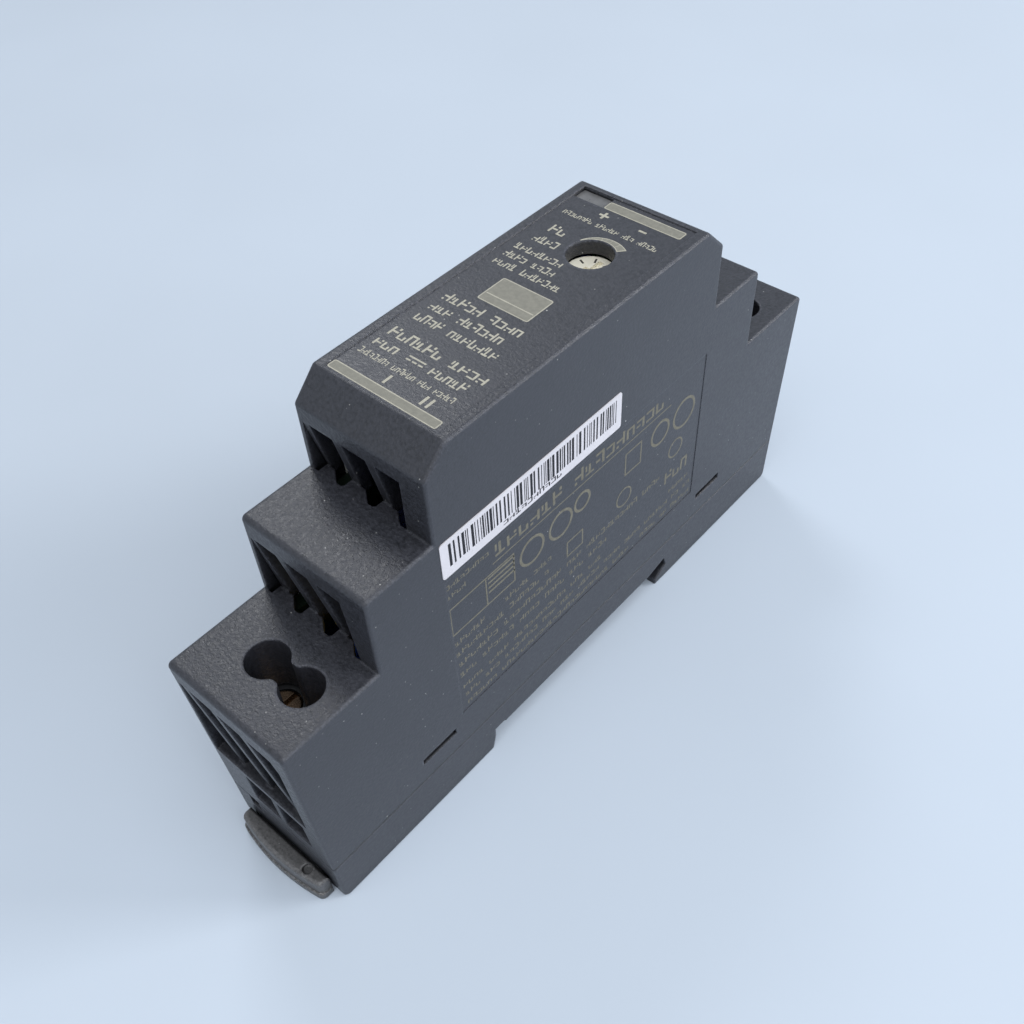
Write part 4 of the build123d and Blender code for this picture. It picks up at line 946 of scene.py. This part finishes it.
class RAILSUPPLY_OT_stage(bpy.types.Operator):
    """Set the floor, the soft lights, the world and the camera"""

    bl_idname = "railsupply.stage"
    bl_label = "Studio"

    EYE = Vector((60.26, -66.5, 116.05)) * MM
    AIM = Vector((3.21, -6.7, 23.5)) * MM
    SHIFT = (-0.0009, 0.0186)
    FLOOR_RADIUS = 3.0
    FLOOR_SIDES = 96
    FADE = (0.25, 0.6)  # how far out the floor starts to fade and has faded
    AIR = (0.90, 0.95, 1.0)  # colour of the light from all round
    AIR_STRENGTH = 0.30
    LIT = Vector((0, 0, 0.02))  # the middle of the object, which the lamps face
    # name, place, size, power in watts, colour
    LIGHTS = (
        ("sky_panel", (0.30, -0.20, 0.80), 0.8, 5.2, (0.95, 0.97, 1.0)),
        ("side_panel", (0.75, 0.10, 0.30), 0.6, 2.1, (0.84, 0.91, 1.0)),
        ("glint_lamp", (0.55, 0.55, 0.42), 0.26, 3.4, (1.0, 1.0, 1.0)),
        ("sheen_panel", (-0.46, 0.24, 0.62), 0.22, 1.3, (0.96, 0.97, 1.0)),
        ("front_fill", (-0.1, -0.6, 0.45), 0.5, 0.5, (1.0, 0.98, 0.95)),
    )

    def execute(self, context):
        studio = context.scene.rail_supply_studio
        self.floor(tuple(studio.floor))
        self.world(context.scene, tuple(studio.floor))
        for name, place, size, power, colour in self.LIGHTS:
            self.panel(name, Vector(place), size, power, colour)
        self.camera(context.scene, studio)
        context.scene.view_settings.view_transform = "Standard"
        return {"FINISHED"}

    def background_share(self, nodes, links):
        """1 for a look at the world or the far floor, straight, mirrored or through glass."""
        path = nodes.new("ShaderNodeLightPath")
        share = path.outputs["Is Camera Ray"]
        for kind in ("Is Glossy Ray", "Is Transmission Ray"):
            either = nodes.new("ShaderNodeMath")
            either.operation = "MAXIMUM"
            links.new(share, either.inputs[0])
            links.new(path.outputs[kind], either.inputs[1])
            share = either.outputs[0]
        return share

    def floor(self, colour):
        """A disc of paper level with the object's foot, which fades into a plain background.

        Point i of its rim is FLOOR_RADIUS * (cos t, sin t) with t = 2 pi i / FLOOR_SIDES.
        """
        finish = Finish("floor_paper", roughness=0.9, specular=0.2)
        cloud = finish.noise(60 * MM, detail=2.0)
        finish.finished(Base_Color=finish.mottled(cloud, colour, 0.985, 1.015))
        reach = finish.add("ShaderNodeVectorMath", operation="LENGTH")
        finish.links.new(finish.place, reach.inputs[0])
        far = finish.span(reach.outputs["Value"], *self.FADE)
        share = finish.maths("MULTIPLY", far, self.background_share(finish.nodes, finish.links))
        plain = finish.add("ShaderNodeEmission")
        plain.inputs["Color"].default_value = (*colour, 1.0)
        pick = finish.add("ShaderNodeMixShader")
        finish.links.new(share, pick.inputs[0])
        finish.links.new(finish.shader.outputs[0], pick.inputs[1])
        finish.links.new(plain.outputs[0], pick.inputs[2])
        finish.links.new(pick.outputs[0], finish.nodes["Material Output"].inputs["Surface"])
        angle = np.linspace(0, 2 * math.pi, self.FLOOR_SIDES, endpoint=False)
        rim = self.FLOOR_RADIUS * np.stack([np.cos(angle), np.sin(angle), 0 * angle], axis=-1)
        rim[:, 2] = BASE_LOW[2]
        mesh = bpy.data.meshes.new("floor")
        mesh.from_pydata(rim.tolist(), [], [list(range(self.FLOOR_SIDES))])
        mesh.materials.append(finish.material)
        floor = bpy.data.objects.new("floor", mesh)
        bpy.context.scene.collection.objects.link(floor)

    def world(self, scene, colour):
        """Even light all round, with the floor's own colour where the camera sees past it."""
        world = bpy.data.worlds.new("studio_air")
        scene.world = world
        world.use_nodes = True
        nodes = world.node_tree.nodes
        links = world.node_tree.links
        light = nodes["Background"]
        light.inputs["Color"].default_value = (*self.AIR, 1.0)
        light.inputs["Strength"].default_value = self.AIR_STRENGTH
        seen = nodes.new("ShaderNodeBackground")
        seen.inputs["Color"].default_value = (*colour, 1.0)
        pick = nodes.new("ShaderNodeMixShader")
        links.new(self.background_share(nodes, links), pick.inputs[0])
        links.new(light.outputs[0], pick.inputs[1])
        links.new(seen.outputs[0], pick.inputs[2])
        links.new(pick.outputs[0], nodes["World Output"].inputs["Surface"])

    def panel(self, name, place, size, power, colour):
        """A square soft light that faces the middle of the object."""
        lamp = bpy.data.lights.new(name, "AREA")
        lamp.size = size
        lamp.energy = power
        lamp.color = colour
        lamp_object = bpy.data.objects.new(name, lamp)
        aim = self.LIT - place
        lamp_object.matrix_world = Matrix.LocRotScale(place, aim.to_track_quat("-Z", "Y"), None)
        bpy.context.scene.collection.objects.link(lamp_object)

    def camera(self, scene, studio):
        """A camera at EYE that looks at AIM, turned by the roll, with a small lens shift."""
        lens = bpy.data.cameras.new("camera")
        lens.lens = studio.lens
        lens.sensor_width = 36
        lens.clip_start = 0.01
        lens.shift_x, lens.shift_y = self.SHIFT
        camera = bpy.data.objects.new("camera", lens)
        turn = (self.AIM - self.EYE).to_track_quat("-Z", "Y").to_matrix()
        turn = turn @ Matrix.Rotation(-studio.roll, 3, "Z")
        camera.matrix_world = Matrix.LocRotScale(self.EYE, turn.to_quaternion(), None)
        scene.collection.objects.link(camera)
        scene.camera = camera


class RAILSUPPLY_PT_panel(bpy.types.Panel):
    """Sidebar panel that lists the steps and their settings"""

    bl_idname = "RAILSUPPLY_PT_panel"
    bl_label = "Rail Supply"
    bl_space_type = "VIEW_3D"
    bl_region_type = "UI"
    bl_category = "Rail Supply"

    def draw(self, context):
        for name, group in SETTINGS.items():
            box = self.layout.box()
            settings = getattr(context.scene, name)
            for key in group.__annotations__:
                box.prop(settings, key)
        for step in STEPS:
            self.layout.operator(step.bl_idname)


STEPS = (
    RAILSUPPLY_OT_case,
    RAILSUPPLY_OT_front_print,
    RAILSUPPLY_OT_dial_scale,
    RAILSUPPLY_OT_side_marks,
    RAILSUPPLY_OT_label,
    RAILSUPPLY_OT_dial,
    RAILSUPPLY_OT_terminals,
    RAILSUPPLY_OT_boards,
    RAILSUPPLY_OT_stage,
)
CLASSES = (*SETTINGS.values(), *STEPS, RAILSUPPLY_PT_panel)


def register():
    for kind in CLASSES:
        bpy.utils.register_class(kind)
    for name, group in SETTINGS.items():
        setattr(bpy.types.Scene, name, PointerProperty(type=group))


def unregister():
    for name in SETTINGS:
        delattr(bpy.types.Scene, name)
    for kind in reversed(CLASSES):
        bpy.utils.unregister_class(kind)


def main():
    register()
    for step in STEPS:
        group, name = step.bl_idname.split(".")
        getattr(getattr(bpy.ops, group), name)()


if __name__ == "__main__":
    main()
